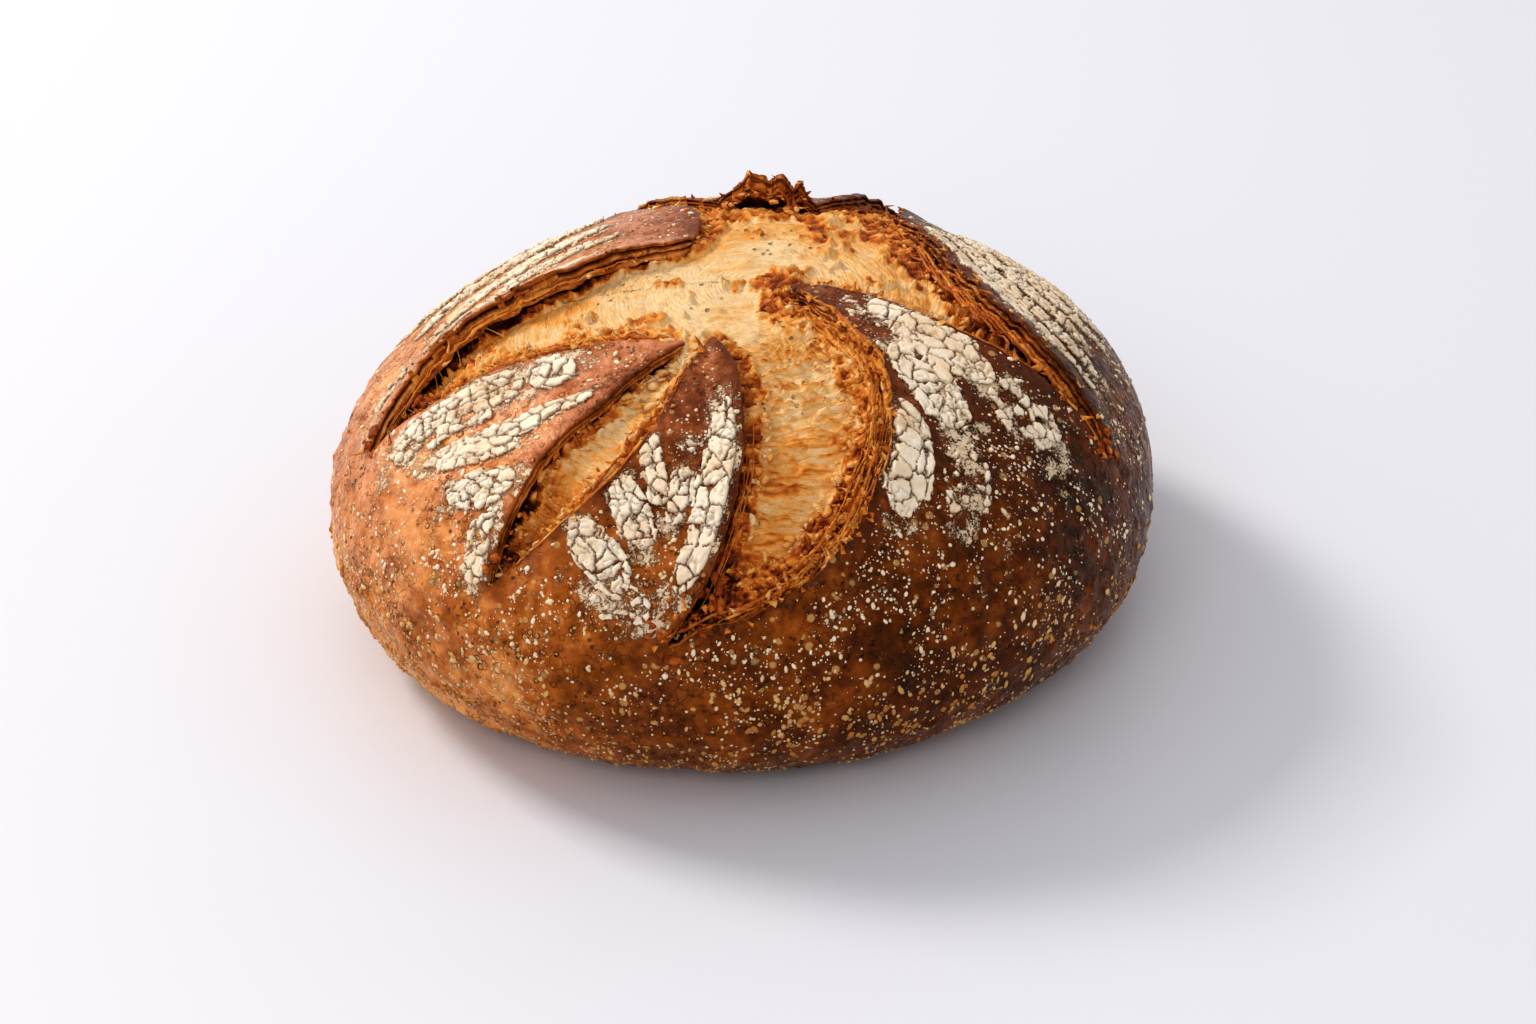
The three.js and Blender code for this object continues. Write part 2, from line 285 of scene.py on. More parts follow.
def footprint_shift():
    """From the crown's axis to the middle of the loaf's footprint, which is where the frame's middle is."""
    rim = spot([(degrees, 1) for degrees in range(360)])
    outer = bend(rim, lumps(rim))
    low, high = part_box("loaf")
    middle = (low + high) / 2 * 1000
    return np.array([middle.x, middle.y, 0]) - np.append((outer.min(0) + outer.max(0))[:2] / 2, 0)


SHIFT = footprint_shift()


def wrap(sheet):
    """A flat sheet's (x, y, rise) in millimetres to its place on the loaf, in metres."""
    return (bend(sheet[:, :2], sheet[:, 2]) + SHIFT) / 1000


# ---- The torn outline of the opening ----
def torn_outline():
    """Closely spaced samples round the opening, each with its place, its way in and its edge's values."""
    parts = {key: [] for key in ("at", "into", "lip", "rag", "shelf", "burn", "drop", "along", "edge")}
    for number, edge in enumerate(PETAL_EDGES):
        line, run = curve(spot(edge["points"]), OUTLINE_STEP)
        line, run = line[:-1], run[:-1]
        ahead = np.gradient(line, axis=0)
        ahead /= np.linalg.norm(ahead, axis=1, keepdims=True)
        into = np.column_stack([-ahead[:, 1], ahead[:, 0]])
        taper = np.sqrt(np.sin(np.pi * run / run[-1] * 0.999 + 0.001))
        marks = np.column_stack([run, np.full(len(run), 50.0 * number), np.zeros(len(run))])
        tear = clouds(marks, 7, 4, 5) + 0.35 * noise(marks, 1.6, 6)
        teeth = 0.5 * clouds(marks, 5, 3, 8) + 0.35 * noise(marks, 2.2, 11)
        jag = 1 + edge["rag"] / 2 * teeth
        parts["at"].append(line + into * (tear * edge["rag"] * taper)[:, None])
        parts["into"].append(into)
        parts["lip"].append(edge["lift"] * taper * jag)
        parts["along"].append(run + 500 * number)
        parts["edge"].append(np.full(len(run), number))
        for key in ("rag", "shelf", "burn", "drop"):
            parts[key].append(np.full(len(run), float(edge[key])))
    outline = {key: np.concatenate(value) for key, value in parts.items()}
    closed = outline["at"]
    area = np.sum(closed[:, 0] * np.roll(closed[:, 1], -1) - closed[:, 1] * np.roll(closed[:, 0], -1))
    outline["into"] *= np.sign(area)
    return outline


OUTLINE = torn_outline()


def outline_tree():
    tree = kdtree.KDTree(len(OUTLINE["at"]))
    for index, (x, y) in enumerate(OUTLINE["at"]):
        tree.insert((x, y, 0), index)
    tree.balance()
    return tree


TREE = outline_tree()


def is_open(flat):
    """True for spots inside the opening's torn outline."""
    inside = np.zeros(len(flat), bool)
    x, y = flat.T
    ring = OUTLINE["at"][::2]
    for (x0, y0), (x1, y1) in zip(ring, np.roll(ring, -1, axis=0)):
        if y0 != y1:
            inside ^= ((y0 > y) != (y1 > y)) & (x < (x1 - x0) * (y - y0) / (y1 - y0) + x0)
    return inside


def nearest(flat):
    """The nearest outline sample, and the distance to it: positive in the opening, negative on a petal."""
    found = [TREE.find((x, y, 0))[1:] for x, y in flat]
    index = np.array([f[0] for f in found])
    distance = np.array([f[1] for f in found])
    return index, np.where(is_open(flat), distance, -distance)


# ---- Height of the skin, of the crumb and their masks ----
def band(value, middle, width):
    return np.exp(-(((value - middle) / width) ** 2))


def degrees_from(angle, middle):
    return (np.degrees(angle) - middle + 180) % 360 - 180


def skin_rise(flat, index, gap):
    """How far the crust stands above the plain skin, petal lips included."""
    place = bend(flat, np.zeros(len(flat)))
    angle, run = polar(flat)
    reach = run / CROWN_LENGTH
    calm = smooth(HEEL_RUN - run, 1, 22)
    lip = OUTLINE["lip"][index] * np.exp(-((gap / LIP_WIDTH) ** 2))
    swell = 0.7 * clouds(place, 34, 2, 1) + 0.28 * clouds(place, 9, 3, 2)
    left = band(degrees_from(angle, 205), 0, 55) * smooth(reach, 0.7, 0.95)
    wrinkle_at = np.column_stack([run / 5.0, angle * 120 / 30.0, np.zeros(len(run))])
    wrinkles = left * (ridges(wrinkle_at + 0.4 * clouds(place, 12, 2, 3)[:, None], 1, 2, 4) - 0.4) * 1.7
    blisters = smooth(noise(place, 4.6, 9), 0.45, 0.85) * (0.25 + 0.35 * smooth(reach, 0.75, 1.0))
    creases = 0.75 * (ridges(place, 5.5, 2, 5) - 0.45) * smooth(reach, 0.5, 0.8)
    return lip + lumps(flat) + calm * (swell + wrinkles + blisters + creases)


def edge_distances(flat):
    """Distance from every spot to every petal edge."""
    lines = [curve(spot(edge["points"]), 3.0)[0] for edge in PETAL_EDGES]
    return np.column_stack([
        np.min([np.hypot(*(flat - point).T) for point in line], axis=0) for line in lines])


def cell_walls(at, seed, seats=False):
    """How far spots are from the walls between random cells one unit across, and their cells' seats."""
    cell = np.floor(at).astype(np.int64)
    best, second, own = np.full(len(at), 9.0), np.full(len(at), 9.0), np.zeros((len(at), 2))
    for dx in (-1, 0, 1):
        for dy in (-1, 0, 1):
            grid = cell + (dx, dy)
            key = np.column_stack([grid, np.zeros(len(at), np.int64)]).T + 1000
            seat = grid + 0.5 + 0.42 * np.column_stack([lattice(key, seed), lattice(key, seed + 1)])
            away = np.hypot(*(at - seat).T)
            second = np.minimum(second, np.maximum(best, away))
            own[away < best] = seat[away < best]
            best = np.minimum(best, away)
    return (second - best, own) if seats else second - best


def open_cells(flat, place):
    """Depth of the torn-open cells, and how cell-like the crumb is there."""
    depth, mask = np.zeros(len(flat)), np.zeros(len(flat))
    for number, (length, width, deep, middle) in enumerate(OPEN_CELLS):
        line, run = curve(spot(middle), 1.0)
        away = np.array([np.hypot(*(flat - point).T) for point in line])
        row = away.argmin(0)
        ahead = np.gradient(line, axis=0)[row]
        ahead /= np.linalg.norm(ahead, axis=1, keepdims=True)
        offset = flat - line[row]
        across = offset[:, 1] * ahead[:, 0] - offset[:, 0] * ahead[:, 1]
        along = run[row] + (offset * ahead).sum(1)
        warp = 0.35 * clouds(place, 6, 2, 40 + number)
        wall = cell_walls(np.column_stack([along / length + warp, across / width - warp]), 50 + 7 * number)
        here = np.exp(-((away.min(0) / 11) ** 2))
        depth += deep * here * smooth(wall, 0.08, 0.42)
        mask = np.maximum(mask, here)
    return depth, mask


def crumb_floor(away):
    """The crumb's plain depth: the drops of the edges nearby, the deep ones made shallower."""
    pull = 1 / (away**2 + 1)
    drops = np.array([edge["drop"] for edge in PETAL_EDGES])
    return -(pull * np.minimum(drops, 2.5 + 0.3 * drops)).sum(1) / pull.sum(1)


def torn_amount(place, angle, away, behind, crown):
    """Over 0 where the crumb is shaggy: along the edges, behind the crown and in tufts."""
    fringe = np.array([edge["fringe"] for edge in PETAL_EDGES])
    torn = np.maximum((1 - away / fringe).max(1), -0.62) + 0.7 * clouds(place, 11, 4, 28)
    torn += 0.6 * behind
    torn -= 0.08
    torn += 0.34 * crown * clouds(place, 20, 2, 36)
    outside_front = smooth(np.abs(degrees_from(angle, 285)), 38, 60)
    tufts = smooth(clouds(place, 7, 3, 39), 0.04, 0.36) * outside_front
    return torn + 0.8 * tufts


def pull_lines(flat, place, angle, run):
    """Places on the sheet measured across the crumb's fibres, then along them."""
    ringwise = np.column_stack([run, angle * run, np.zeros(len(run))])
    straight = np.column_stack([flat[:, 1], flat[:, 0] * 0.6, np.zeros(len(run))])
    blend = smooth(run, 22, 48)[:, None]
    along = ringwise * blend + straight * (1 - blend)
    along += clouds(place, 14, 3, 22)[:, None] * (3, 5, 0)
    return along


def crumb_rise(flat, index, gap):
    """Height of the crumb in the opening, and how toasted it is, from 0 for cream to 1 for burnt."""
    place = bend(flat, np.zeros(len(flat)))
    angle, run = polar(flat)
    away = edge_distances(flat)
    floor = crumb_floor(away)
    behind = band(degrees_from(angle, 62), 0, 62) * smooth(run, 18, 40)
    crown = np.exp(-((run / 42) ** 2))
    torn = torn_amount(place, angle, away, behind, crown)
    shag = smooth(torn, 0, 0.16)
    rim = band(torn, 0.07, 0.09)
    along = pull_lines(flat, place, angle, run)
    calm = 0.35 + 0.65 * band(degrees_from(angle, 278), 0, 42) * smooth(run, 25, 50)
    fibres = ridges(along / (3.6, 15, 1), 1, 2, 23)
    threads = noise(along / (0.95, 8, 1), 1, 29)
    wall = cell_walls((along / (3.6, 7, 1))[:, :2], 30)
    net = smooth(wall, 0.26, 0.05) * smooth(clouds(place, 13, 2, 33), -0.5, 0.1)
    clump = ridges(place, 5.2, 3, 24)
    curl = ridges(place, 2.3, 2, 45)
    braid = band(away[:, 4] + 1.2 * clouds(along, 22, 2, 34), 3.5, 5)
    strands = braid * (0.5 + 0.5 * np.sin(away[:, 4] * 2.9 + 3 * clouds(along, 16, 3, 35)))
    depth, cells = open_cells(flat, place)
    open_part = smooth(gap, 0.5, 5) * (1 - shag) * calm
    rise = floor + 1.7 * clouds(place, 19, 3, 25) + 0.5 * (1 - calm) * clouds(place, 4.5, 3, 38) - depth
    rise += open_part * (2.5 * (fibres - 0.45) + 0.5 * threads + 0.9 * net)
    shaggy = shag * (1.0 + 2.8 * (clump - 0.42) + 1.7 * (curl - 0.45))
    rise += shaggy + 1.5 * strands + 0.3 * clouds(place, 1.9, 2, 26)
    near = OUTLINE["burn"][index] * np.exp(-np.maximum(gap, 0) / 1.6)
    toast = 0.1 + open_part * (0.33 * smooth(fibres, 0.42, 0.9) + 0.2 * net - 0.06 * threads)
    frayed = shag * (0.6 - 0.3 * smooth(clump, 0.3, 0.8) - 0.24 * smooth(curl, 0.35, 0.85))
    toast += frayed - 0.12 * rim + 0.32 * near - 0.12 * strands
    toast += 0.2 * clouds(place, 9, 3, 27) + 0.16 * smooth(clouds(place, 26, 2, 37), 0, 0.5)
    toast += cells * (0.2 - 0.1 * smooth(depth, 0.5, 3)) + 0.1 * behind
    toast -= 0.2 * band(degrees_from(angle, 243), 0, 11) * shag
    toast += 0.12 * smooth(run, 60, 120) - 0.17 * crown
    return rise, np.clip(toast, 0, 1)


# ---- Making pieces ----
def sheet_of(mesh):
    """The sheet coordinates kept in a mesh's vertices."""
    flat = np.empty(len(mesh.vertices) * 3)
    mesh.vertices.foreach_get("co", flat)
    return flat.reshape(-1, 3)


def add_values(mesh, **values):
    for name, numbers in values.items():
        layer = mesh.attributes.new(name, "FLOAT", "POINT")
        layer.data.foreach_set("value", np.ascontiguousarray(numbers, np.float32))


def take_values(mesh, name, kind=np.float32):
    """Reads a value kept in a mesh's vertices, and removes it from the mesh."""
    numbers = np.empty(len(mesh.vertices), kind)
    mesh.attributes[name].data.foreach_get("value", numbers)
    mesh.attributes.remove(mesh.attributes[name])
    return numbers


def add_flow(mesh, flat):
    """Keeps the run from the crown and the way round it, so that fibres can follow the opening."""
    angle, run = polar(flat)
    layer = mesh.attributes.new("flow", "FLOAT_VECTOR", "POINT")
    flow = np.column_stack([run, angle * run, 0 * run]).astype(np.float32)
    layer.data.foreach_set("vector", flow.ravel())


def keep_whole(sheet):
    """Deletes corners where faces touch only at a point, until none is left."""
    while True:
        pinched = [v for v in sheet.verts if sum(e.is_boundary for e in v.link_edges) > 2]
        if not pinched:
            return
        bmesh.ops.delete(sheet, geom=pinched, context="VERTS")


def close_bottom(sheet, edges):
    """Fills a hidden loop and cuts the fill into triangles."""
    fill = bmesh.ops.holes_fill(sheet, edges=edges, sides=0)["faces"]
    bmesh.ops.triangulate(sheet, faces=fill)


def to_mesh(sheet, name):
    mesh = bpy.data.meshes.new(name)
    sheet.to_mesh(mesh)
    sheet.free()
    return mesh


def settle(mesh, sheet, material):
    """Wraps a shaped sheet round the loaf and makes it a piece."""
    mesh.vertices.foreach_set("co", wrap(sheet).ravel())
    closed = bmesh.new()
    closed.from_mesh(mesh)
    bmesh.ops.recalc_face_normals(closed, faces=closed.faces)
    closed.to_mesh(mesh)
    closed.free()
    mesh.shade_smooth()
    mesh.materials.append(material)
    piece = bpy.data.objects.new(mesh.name, mesh)
    bpy.context.scene.collection.objects.link(piece)
    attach(piece, "root")
    return piece


# ---- Materials ----
SHINE = (1, 0.68, 0.4, 1)  # the warm colour of every highlight


class Finish:
    """A material's nodes, with short names for the ones used here."""

    def __init__(self, name):
        self.material = bpy.data.materials.new(name)
        self.material.use_nodes = True
        self.tree = self.material.node_tree
        self.shader = self.tree.nodes["Principled BSDF"]
        self.place = self.add("ShaderNodeTexCoord").outputs["Object"]

    def add(self, kind, **settings):
        node = self.tree.nodes.new(kind)
        for key, value in settings.items():
            setattr(node, key, value)
        return node

    def join(self, source, socket):
        if isinstance(source, (int, float, tuple)):
            socket.default_value = source
        else:
            self.tree.links.new(source, socket)

    def value(self, name):
        return self.add("ShaderNodeAttribute", attribute_name=name).outputs["Fac"]

    def vector(self, name):
        return self.add("ShaderNodeAttribute", attribute_name=name).outputs["Vector"]

    def sum(self, a, b, how="ADD"):
        node = self.add("ShaderNodeMath", operation=how)
        self.join(a, node.inputs[0])
        self.join(b, node.inputs[1])
        return node.outputs[0]

    def noise(self, scale, detail=4, rough=0.55, at=None):
        node = self.add("ShaderNodeTexNoise")
        node.inputs["Scale"].default_value = scale
        node.inputs["Detail"].default_value = detail
        node.inputs["Roughness"].default_value = rough
        self.join(at or self.place, node.inputs["Vector"])
        return node.outputs[0]

    def cells(self, scale):
        node = self.add("ShaderNodeTexVoronoi", feature="F1")
        node.inputs["Scale"].default_value = scale
        self.join(self.place, node.inputs["Vector"])
        return node

    def crackle(self, scale, width):
        """A net of fine cracks, bent by noise."""
        bend = self.add("ShaderNodeTexNoise")
        bend.inputs["Scale"].default_value = scale
        self.join(self.place, bend.inputs["Vector"])
        moved = self.add("ShaderNodeVectorMath", operation="MULTIPLY_ADD")
        self.join(bend.outputs[1], moved.inputs[0])
        moved.inputs[1].default_value = (1.7 / scale, 1.7 / scale, 1.7 / scale)
        self.join(self.place, moved.inputs[2])
        walls = self.add("ShaderNodeTexVoronoi", feature="DISTANCE_TO_EDGE")
        walls.inputs["Scale"].default_value = scale
        self.join(moved.outputs[0], walls.inputs["Vector"])
        return self.step(walls.outputs["Distance"], width, width * 0.3)

    def specks(self, scale, size, share):
        """Round specks, one in each small cell, in as many of the cells as share says."""
        cells = self.cells(scale)
        drawn = self.add("ShaderNodeSeparateColor")
        self.join(cells.outputs["Color"], drawn.inputs[0])
        present = self.step(self.sum(drawn.outputs[0], share), 0.98, 1.0)
        reach = self.sum(self.sum(drawn.outputs[1], 0.6, "MULTIPLY"), cells.outputs["Distance"])
        return self.sum(present, self.step(reach, size + 0.12, size), "MULTIPLY")

    def stretch(self, source, scale):
        node = self.add("ShaderNodeMapping")
        node.inputs["Scale"].default_value = scale
        self.join(source, node.inputs["Vector"])
        return node.outputs[0]

    def ramp(self, source, *stops):
        node = self.add("ShaderNodeValToRGB")
        ramp = node.color_ramp
        while len(ramp.elements) < len(stops):
            ramp.elements.new(0.5)
        for element, (position, colour) in zip(ramp.elements, stops):
            element.position = position
            element.color = colour if len(colour) == 4 else (*colour, 1)
        self.join(source, node.inputs[0])
        return node.outputs[0]

    def step(self, source, low, high):
        node = self.add("ShaderNodeMapRange", interpolation_type="SMOOTHSTEP")
        self.join(source, node.inputs[0])
        node.inputs[1].default_value = low
        node.inputs[2].default_value = high
        return node.outputs[0]

    def mix(self, share, a, b, how="MIX"):
        node = self.add("ShaderNodeMix", data_type="RGBA", blend_type=how)
        self.join(share, node.inputs[0])
        self.join(a, node.inputs[6])
        self.join(b, node.inputs[7])
        return node.outputs[2]

    def bump(self, height, distance, strength=1.0, under=None):
        node = self.add("ShaderNodeBump")
        node.inputs["Distance"].default_value = distance
        node.inputs["Strength"].default_value = strength
        self.join(height, node.inputs["Height"])
        if under:
            self.join(under, node.inputs["Normal"])
        return node.outputs[0]

    def dress(self, colour, roughness, normal, gloss=0.5):
        self.shader.inputs["Specular IOR Level"].default_value = gloss
        self.shader.inputs["Specular Tint"].default_value = SHINE
        self.join(colour, self.shader.inputs["Base Color"])
        self.join(roughness, self.shader.inputs["Roughness"])
        self.join(normal, self.shader.inputs["Normal"])
        return self.material


def crust_finish():
    f = Finish("baked_crust")
    mottle = f.sum(f.noise(38, 6, 0.6), f.noise(260, 4, 0.6))
    # This value holds the real bake together with painted shade on the far sides and in the lips' grooves.
    bake = f.sum(f.value("bake"), f.sum(f.sum(mottle, -1.0), 0.75, "MULTIPLY"))
    colour = f.ramp(
        bake, (0.0, (0.88, 0.5, 0.2)), (0.2, (0.74, 0.31, 0.085)), (0.42, (0.43, 0.125, 0.014)),
        (0.6, (0.25, 0.066, 0.003)), (0.8, (0.115, 0.024, 0.001)), (1.0, (0.03, 0.007, 0.001)))
    skin = f.ramp(bake, (0.1, (0.8, 0.39, 0.22)), (0.5, (0.46, 0.155, 0.06)), (0.8, (0.19, 0.047, 0.014)))
    colour = f.mix(f.value("blush"), colour, skin)
    # Pores: sunk by the bump and painted dark, as shade inside them.
    shaded_pore = f.step(f.cells(420).outputs["Distance"], 0.3, 0.12)
    shaded_pore = f.sum(shaded_pore, f.step(f.noise(60, 3), 0.46, 0.56), "MULTIPLY")
    colour = f.mix(f.sum(shaded_pore, 0.7, "MULTIPLY"), colour, (0.06, 0.016, 0.006, 1))
    # Fine cracks: sunk by the bump and painted dark, as shade inside them.
    crack = f.sum(f.crackle(270, 0.04), f.step(f.noise(90, 3), 0.5, 0.6), "MULTIPLY")
    colour = f.mix(f.sum(crack, 0.42, "MULTIPLY"), colour, (0.1, 0.025, 0.008, 1))
    dust = f.sum(f.value("flour"), f.sum(f.noise(1100, 4, 0.8), f.noise(150, 3, 0.6)))
    dust = f.step(dust, 1.29, 1.37)
    colour = f.mix(f.sum(dust, 0.85, "MULTIPLY"), colour, (0.86, 0.68, 0.47, 1))
    blister = f.step(f.cells(330).outputs["Distance"], 0.42, 0.1)
    blister = f.sum(blister, f.step(f.noise(75, 3), 0.42, 0.6), "MULTIPLY")
    amber = f.specks(330, 0.36, f.sum(f.value("specks"), 0.28))
    colour = f.mix(f.sum(amber, 0.6, "MULTIPLY"), colour, (0.7, 0.42, 0.16, 1))
    white = f.specks(760, 0.38, f.value("specks"))
    colour = f.mix(f.sum(white, 0.85, "MULTIPLY"), colour, (0.85, 0.7, 0.5, 1))
    rough = f.sum(0.14, f.sum(f.noise(300, 3), 0.26, "MULTIPLY"))
    rough = f.sum(rough, f.sum(dust, 0.4, "MULTIPLY"))
    normal = f.bump(f.noise(140, 5, 0.55), 0.0022, 0.6)
    normal = f.bump(f.noise(430, 3, 0.5), 0.0006, 0.45, normal)
    normal = f.bump(f.noise(1400, 3, 0.6), 0.0002, 0.6, normal)
    normal = f.bump(f.sum(amber, white), 0.0004, 0.7, normal)
    normal = f.bump(blister, 0.0012, 0.8, normal)
    normal = f.bump(shaded_pore, -0.0006, 0.8, normal)
    normal = f.bump(crack, -0.0007, 0.8, normal)
    normal = f.bump(dust, 0.0005, 0.9, normal)
    return f.dress(colour, rough, normal, 0.28)


def crumb_finish():
    f = Finish("torn_crumb")
    fibre = f.noise(1.0, 4, 0.6, f.stretch(f.vector("flow"), (1.3, 0.22, 1)))
    toast = f.sum(f.value("toast"), f.sum(f.sum(f.noise(230, 5, 0.65), -0.5), 0.45, "MULTIPLY"))
    toast = f.sum(toast, f.sum(f.sum(fibre, -0.5), 0.45, "MULTIPLY"))
    colour = f.ramp(
        toast, (0.0, (0.95, 0.69, 0.39)), (0.16, (0.92, 0.57, 0.24)), (0.34, (0.88, 0.4, 0.08)),
        (0.5, (0.68, 0.21, 0.028)), (0.68, (0.38, 0.078, 0.012)), (0.86, (0.12, 0.024, 0.006)),
        (1.0, (0.03, 0.009, 0.005)))
    # Small holes in the crumb: sunk by the bump and painted dark, as shade inside them.
    shaded_hole = f.step(f.cells(300).outputs["Distance"], 0.24, 0.1)
    shaded_hole = f.sum(shaded_hole, f.step(f.noise(45, 2), 0.5, 0.6), "MULTIPLY")
    colour = f.mix(f.sum(shaded_hole, 0.7, "MULTIPLY"), colour, (0.13, 0.05, 0.012, 1))
    normal = f.bump(fibre, 0.0014, 0.8)
    normal = f.bump(f.noise(420, 5, 0.65), 0.0008, 0.7, normal)
    normal = f.bump(shaded_hole, -0.0008, 0.8, normal)
    rough = f.sum(0.22, f.sum(f.noise(200, 3), 0.3, "MULTIPLY"))
    return f.dress(colour, rough, normal, 0.45)


def flour_finish():
    f = Finish("baked_flour")
    tone = f.sum(f.noise(90, 5, 0.6), f.sum(f.noise(700, 4, 0.7), 0.5, "MULTIPLY"))
    colour = f.ramp(
        tone, (0.5, (0.68, 0.45, 0.25)), (0.64, (0.84, 0.66, 0.46)), (0.85, (0.91, 0.79, 0.62)))
    pits = f.step(f.cells(900).outputs["Distance"], 0.26, 0.1)
    pits = f.sum(pits, f.step(f.noise(140, 2), 0.5, 0.66), "MULTIPLY")
    colour = f.mix(f.sum(pits, 0.7, "MULTIPLY"), colour, (0.24, 0.11, 0.05, 1))
    colour = f.mix(f.value("low"), colour, (0.11, 0.038, 0.014, 1))
    normal = f.bump(f.noise(800, 5, 0.7), 0.0004, 0.7)
    normal = f.bump(pits, -0.0004, 0.8, normal)
    return f.dress(colour, 0.9, normal, 0.28)


def grain_finish():
    f = Finish("semolina")
    tone = f.value("shade")
    colour = f.ramp(
        tone, (0.0, (0.45, 0.2, 0.05)), (0.4, (0.7, 0.46, 0.19)), (0.75, (0.82, 0.67, 0.45)),
        (1.0, (0.88, 0.78, 0.62)))
    return f.dress(colour, 0.55, f.bump(f.noise(1500, 3), 0.0002, 0.5))


# ---- The loaf: crust, lips and flat underside ----
# Steps of the torn edge under each lip, from the lip down: (out over the opening, of which the
# edge's own shelf, down, bake, more bake where the edge is burnt). They make a round lip, a groove,
# a second skin, another groove and a torn ridge, and are scaled by how far the edge stands above
# the crumb. The bake of the grooves and of the last, hidden step is painted shade: they are dark
# because they lie in the lip's shadow, while the lip, the second skin and the ridge keep the real bake.
ROLL = [
    (0.5, 0, 0.3, 0.26, 0.3), (0.5, 0, 0.8, 0.26, 0.3), (-0.7, 0, 1.3, 0.92, 0), (-0.9, 0, 1.7, 0.92, 0),
    (-0.1, 0.7, 2.1, 0.1, 0.18), (0, 0.7, 2.8, 0.1, 0.18), (-1.1, 0.1, 3.3, 0.86, 0),
    (-0.3, 1.2, 4.1, 0.05, 0.12), (-0.6, 1.3, 5.1, 0.05, 0.12), (-2.6, 0, 6.2, 0.8, 0)]
UNDERCUT = 4  # how far back under its petal the last, hidden step goes
RECESS = 15  # how far down it goes


def petal_room(flat, into, most):
    """How far back under a petal an edge can go before it meets the petal's other side."""
    room = np.full(len(flat), 0.3)
    for reach in np.arange(1, most + 1):
        back = flat - into * reach
        _, gap = nearest(back)
        room = np.where(-gap > reach - 0.7, np.minimum(reach, -gap), room)
    return room


def crust_sheet():
    """The crust laid flat: a disc with the opening cut out, its edges rolled and its bottom closed."""
    sheet = bmesh.new()
    bmesh.ops.create_grid(sheet, x_segments=SKIN_SEGMENTS, y_segments=SKIN_SEGMENTS, size=1)
    x, y = np.array([v.co.xy for v in sheet.verts]).T
    disc = np.column_stack([x * np.sqrt(1 - y * y / 2), y * np.sqrt(1 - x * x / 2)])
    out = np.hypot(*disc.T)
    flat = disc * (HEEL_RUN * (SKIN_FINENESS + (1 - SKIN_FINENESS) * out**2))[:, None]
    _, gap = nearest(flat)
    for vert, (u, v) in zip(sheet.verts, flat):
        vert.co = (u, v, 0)
    opened = [face for face in sheet.faces if np.mean([gap[v.index] for v in face.verts]) > 0]
    bmesh.ops.delete(sheet, geom=opened, context="FACES")
    keep_whole(sheet)

    rolled = sheet.verts.layers.float.new("rolled")
    edges = [e for e in sheet.edges if e.is_boundary]
    heel = [e for e in edges if min(v.co.xy.length for v in e.verts) > HEEL_RUN - 1]
    lips = [e for e in edges if max(v.co.xy.length for v in e.verts) < HEEL_RUN - 1]
    for vert in {v for e in lips for v in e.verts}:
        vert.co.xy = OUTLINE["at"][TREE.find(vert.co)[1]]
        vert[rolled] = 0.5
    for number in range(len(ROLL) + 1):
        made = bmesh.ops.extrude_edge_only(sheet, edges=lips)["geom"]
        lips = [g for g in made if isinstance(g, bmesh.types.BMEdge)]
        for vert in (g for g in made if isinstance(g, bmesh.types.BMVert)):
            vert[rolled] = number + 1
    close_bottom(sheet, heel)
    close_bottom(sheet, lips)
    return to_mesh(sheet, "crust")


def roll_under(flat, rise, rolled, index, wander):
    """Turns each lip over and back under its petal. rolled numbers the steps, and is 0 on the skin."""
    turned = rolled >= 1
    last = rolled == len(ROLL) + 1
    step = np.clip(rolled.astype(int) - 1, 0, len(ROLL) - 1)
    into = OUTLINE["into"][index]
    room = np.full(len(flat), UNDERCUT + 3.0)
    under = rolled >= 3
    room[under] = petal_room(flat[under], into[under], UNDERCUT + 3)
    table = np.array(ROLL)
    shelf = OUTLINE["shelf"][index] * np.clip(0.75 + 0.9 * wander, 0, 2)
    tall = np.clip((OUTLINE["lip"][index] + OUTLINE["drop"][index]) / 10, 0.3, 1.5)
    out = table[step, 0] * (0.4 + 0.6 * tall) + table[step, 1] * shelf
    out = np.where(last, -UNDERCUT * tall, out)
    down = np.where(last, RECESS, table[step, 2] * (tall + 0.1 * wander))
    out = np.maximum(out, -room * 0.8)
    return (np.where(turned[:, None], flat + into * out[:, None], flat),
            np.where(turned, rise - down, rise))


def lip_bake(bake, rolled, index, wander):
    """How dark each step under a lip is, on top of the crust's own bake: light ridges, with the grooves and
    the hidden last step painted dark as shade.
    """
    step = np.clip(rolled.astype(int) - 1, 0, len(ROLL) - 1)
    table = np.array(ROLL)
    own = table[step, 3] + table[step, 4] * OUTLINE["burn"][index]
    return np.where(rolled >= 1, np.clip(0.75 * own + 0.3 * bake + 0.2 * wander, 0, 1), bake)


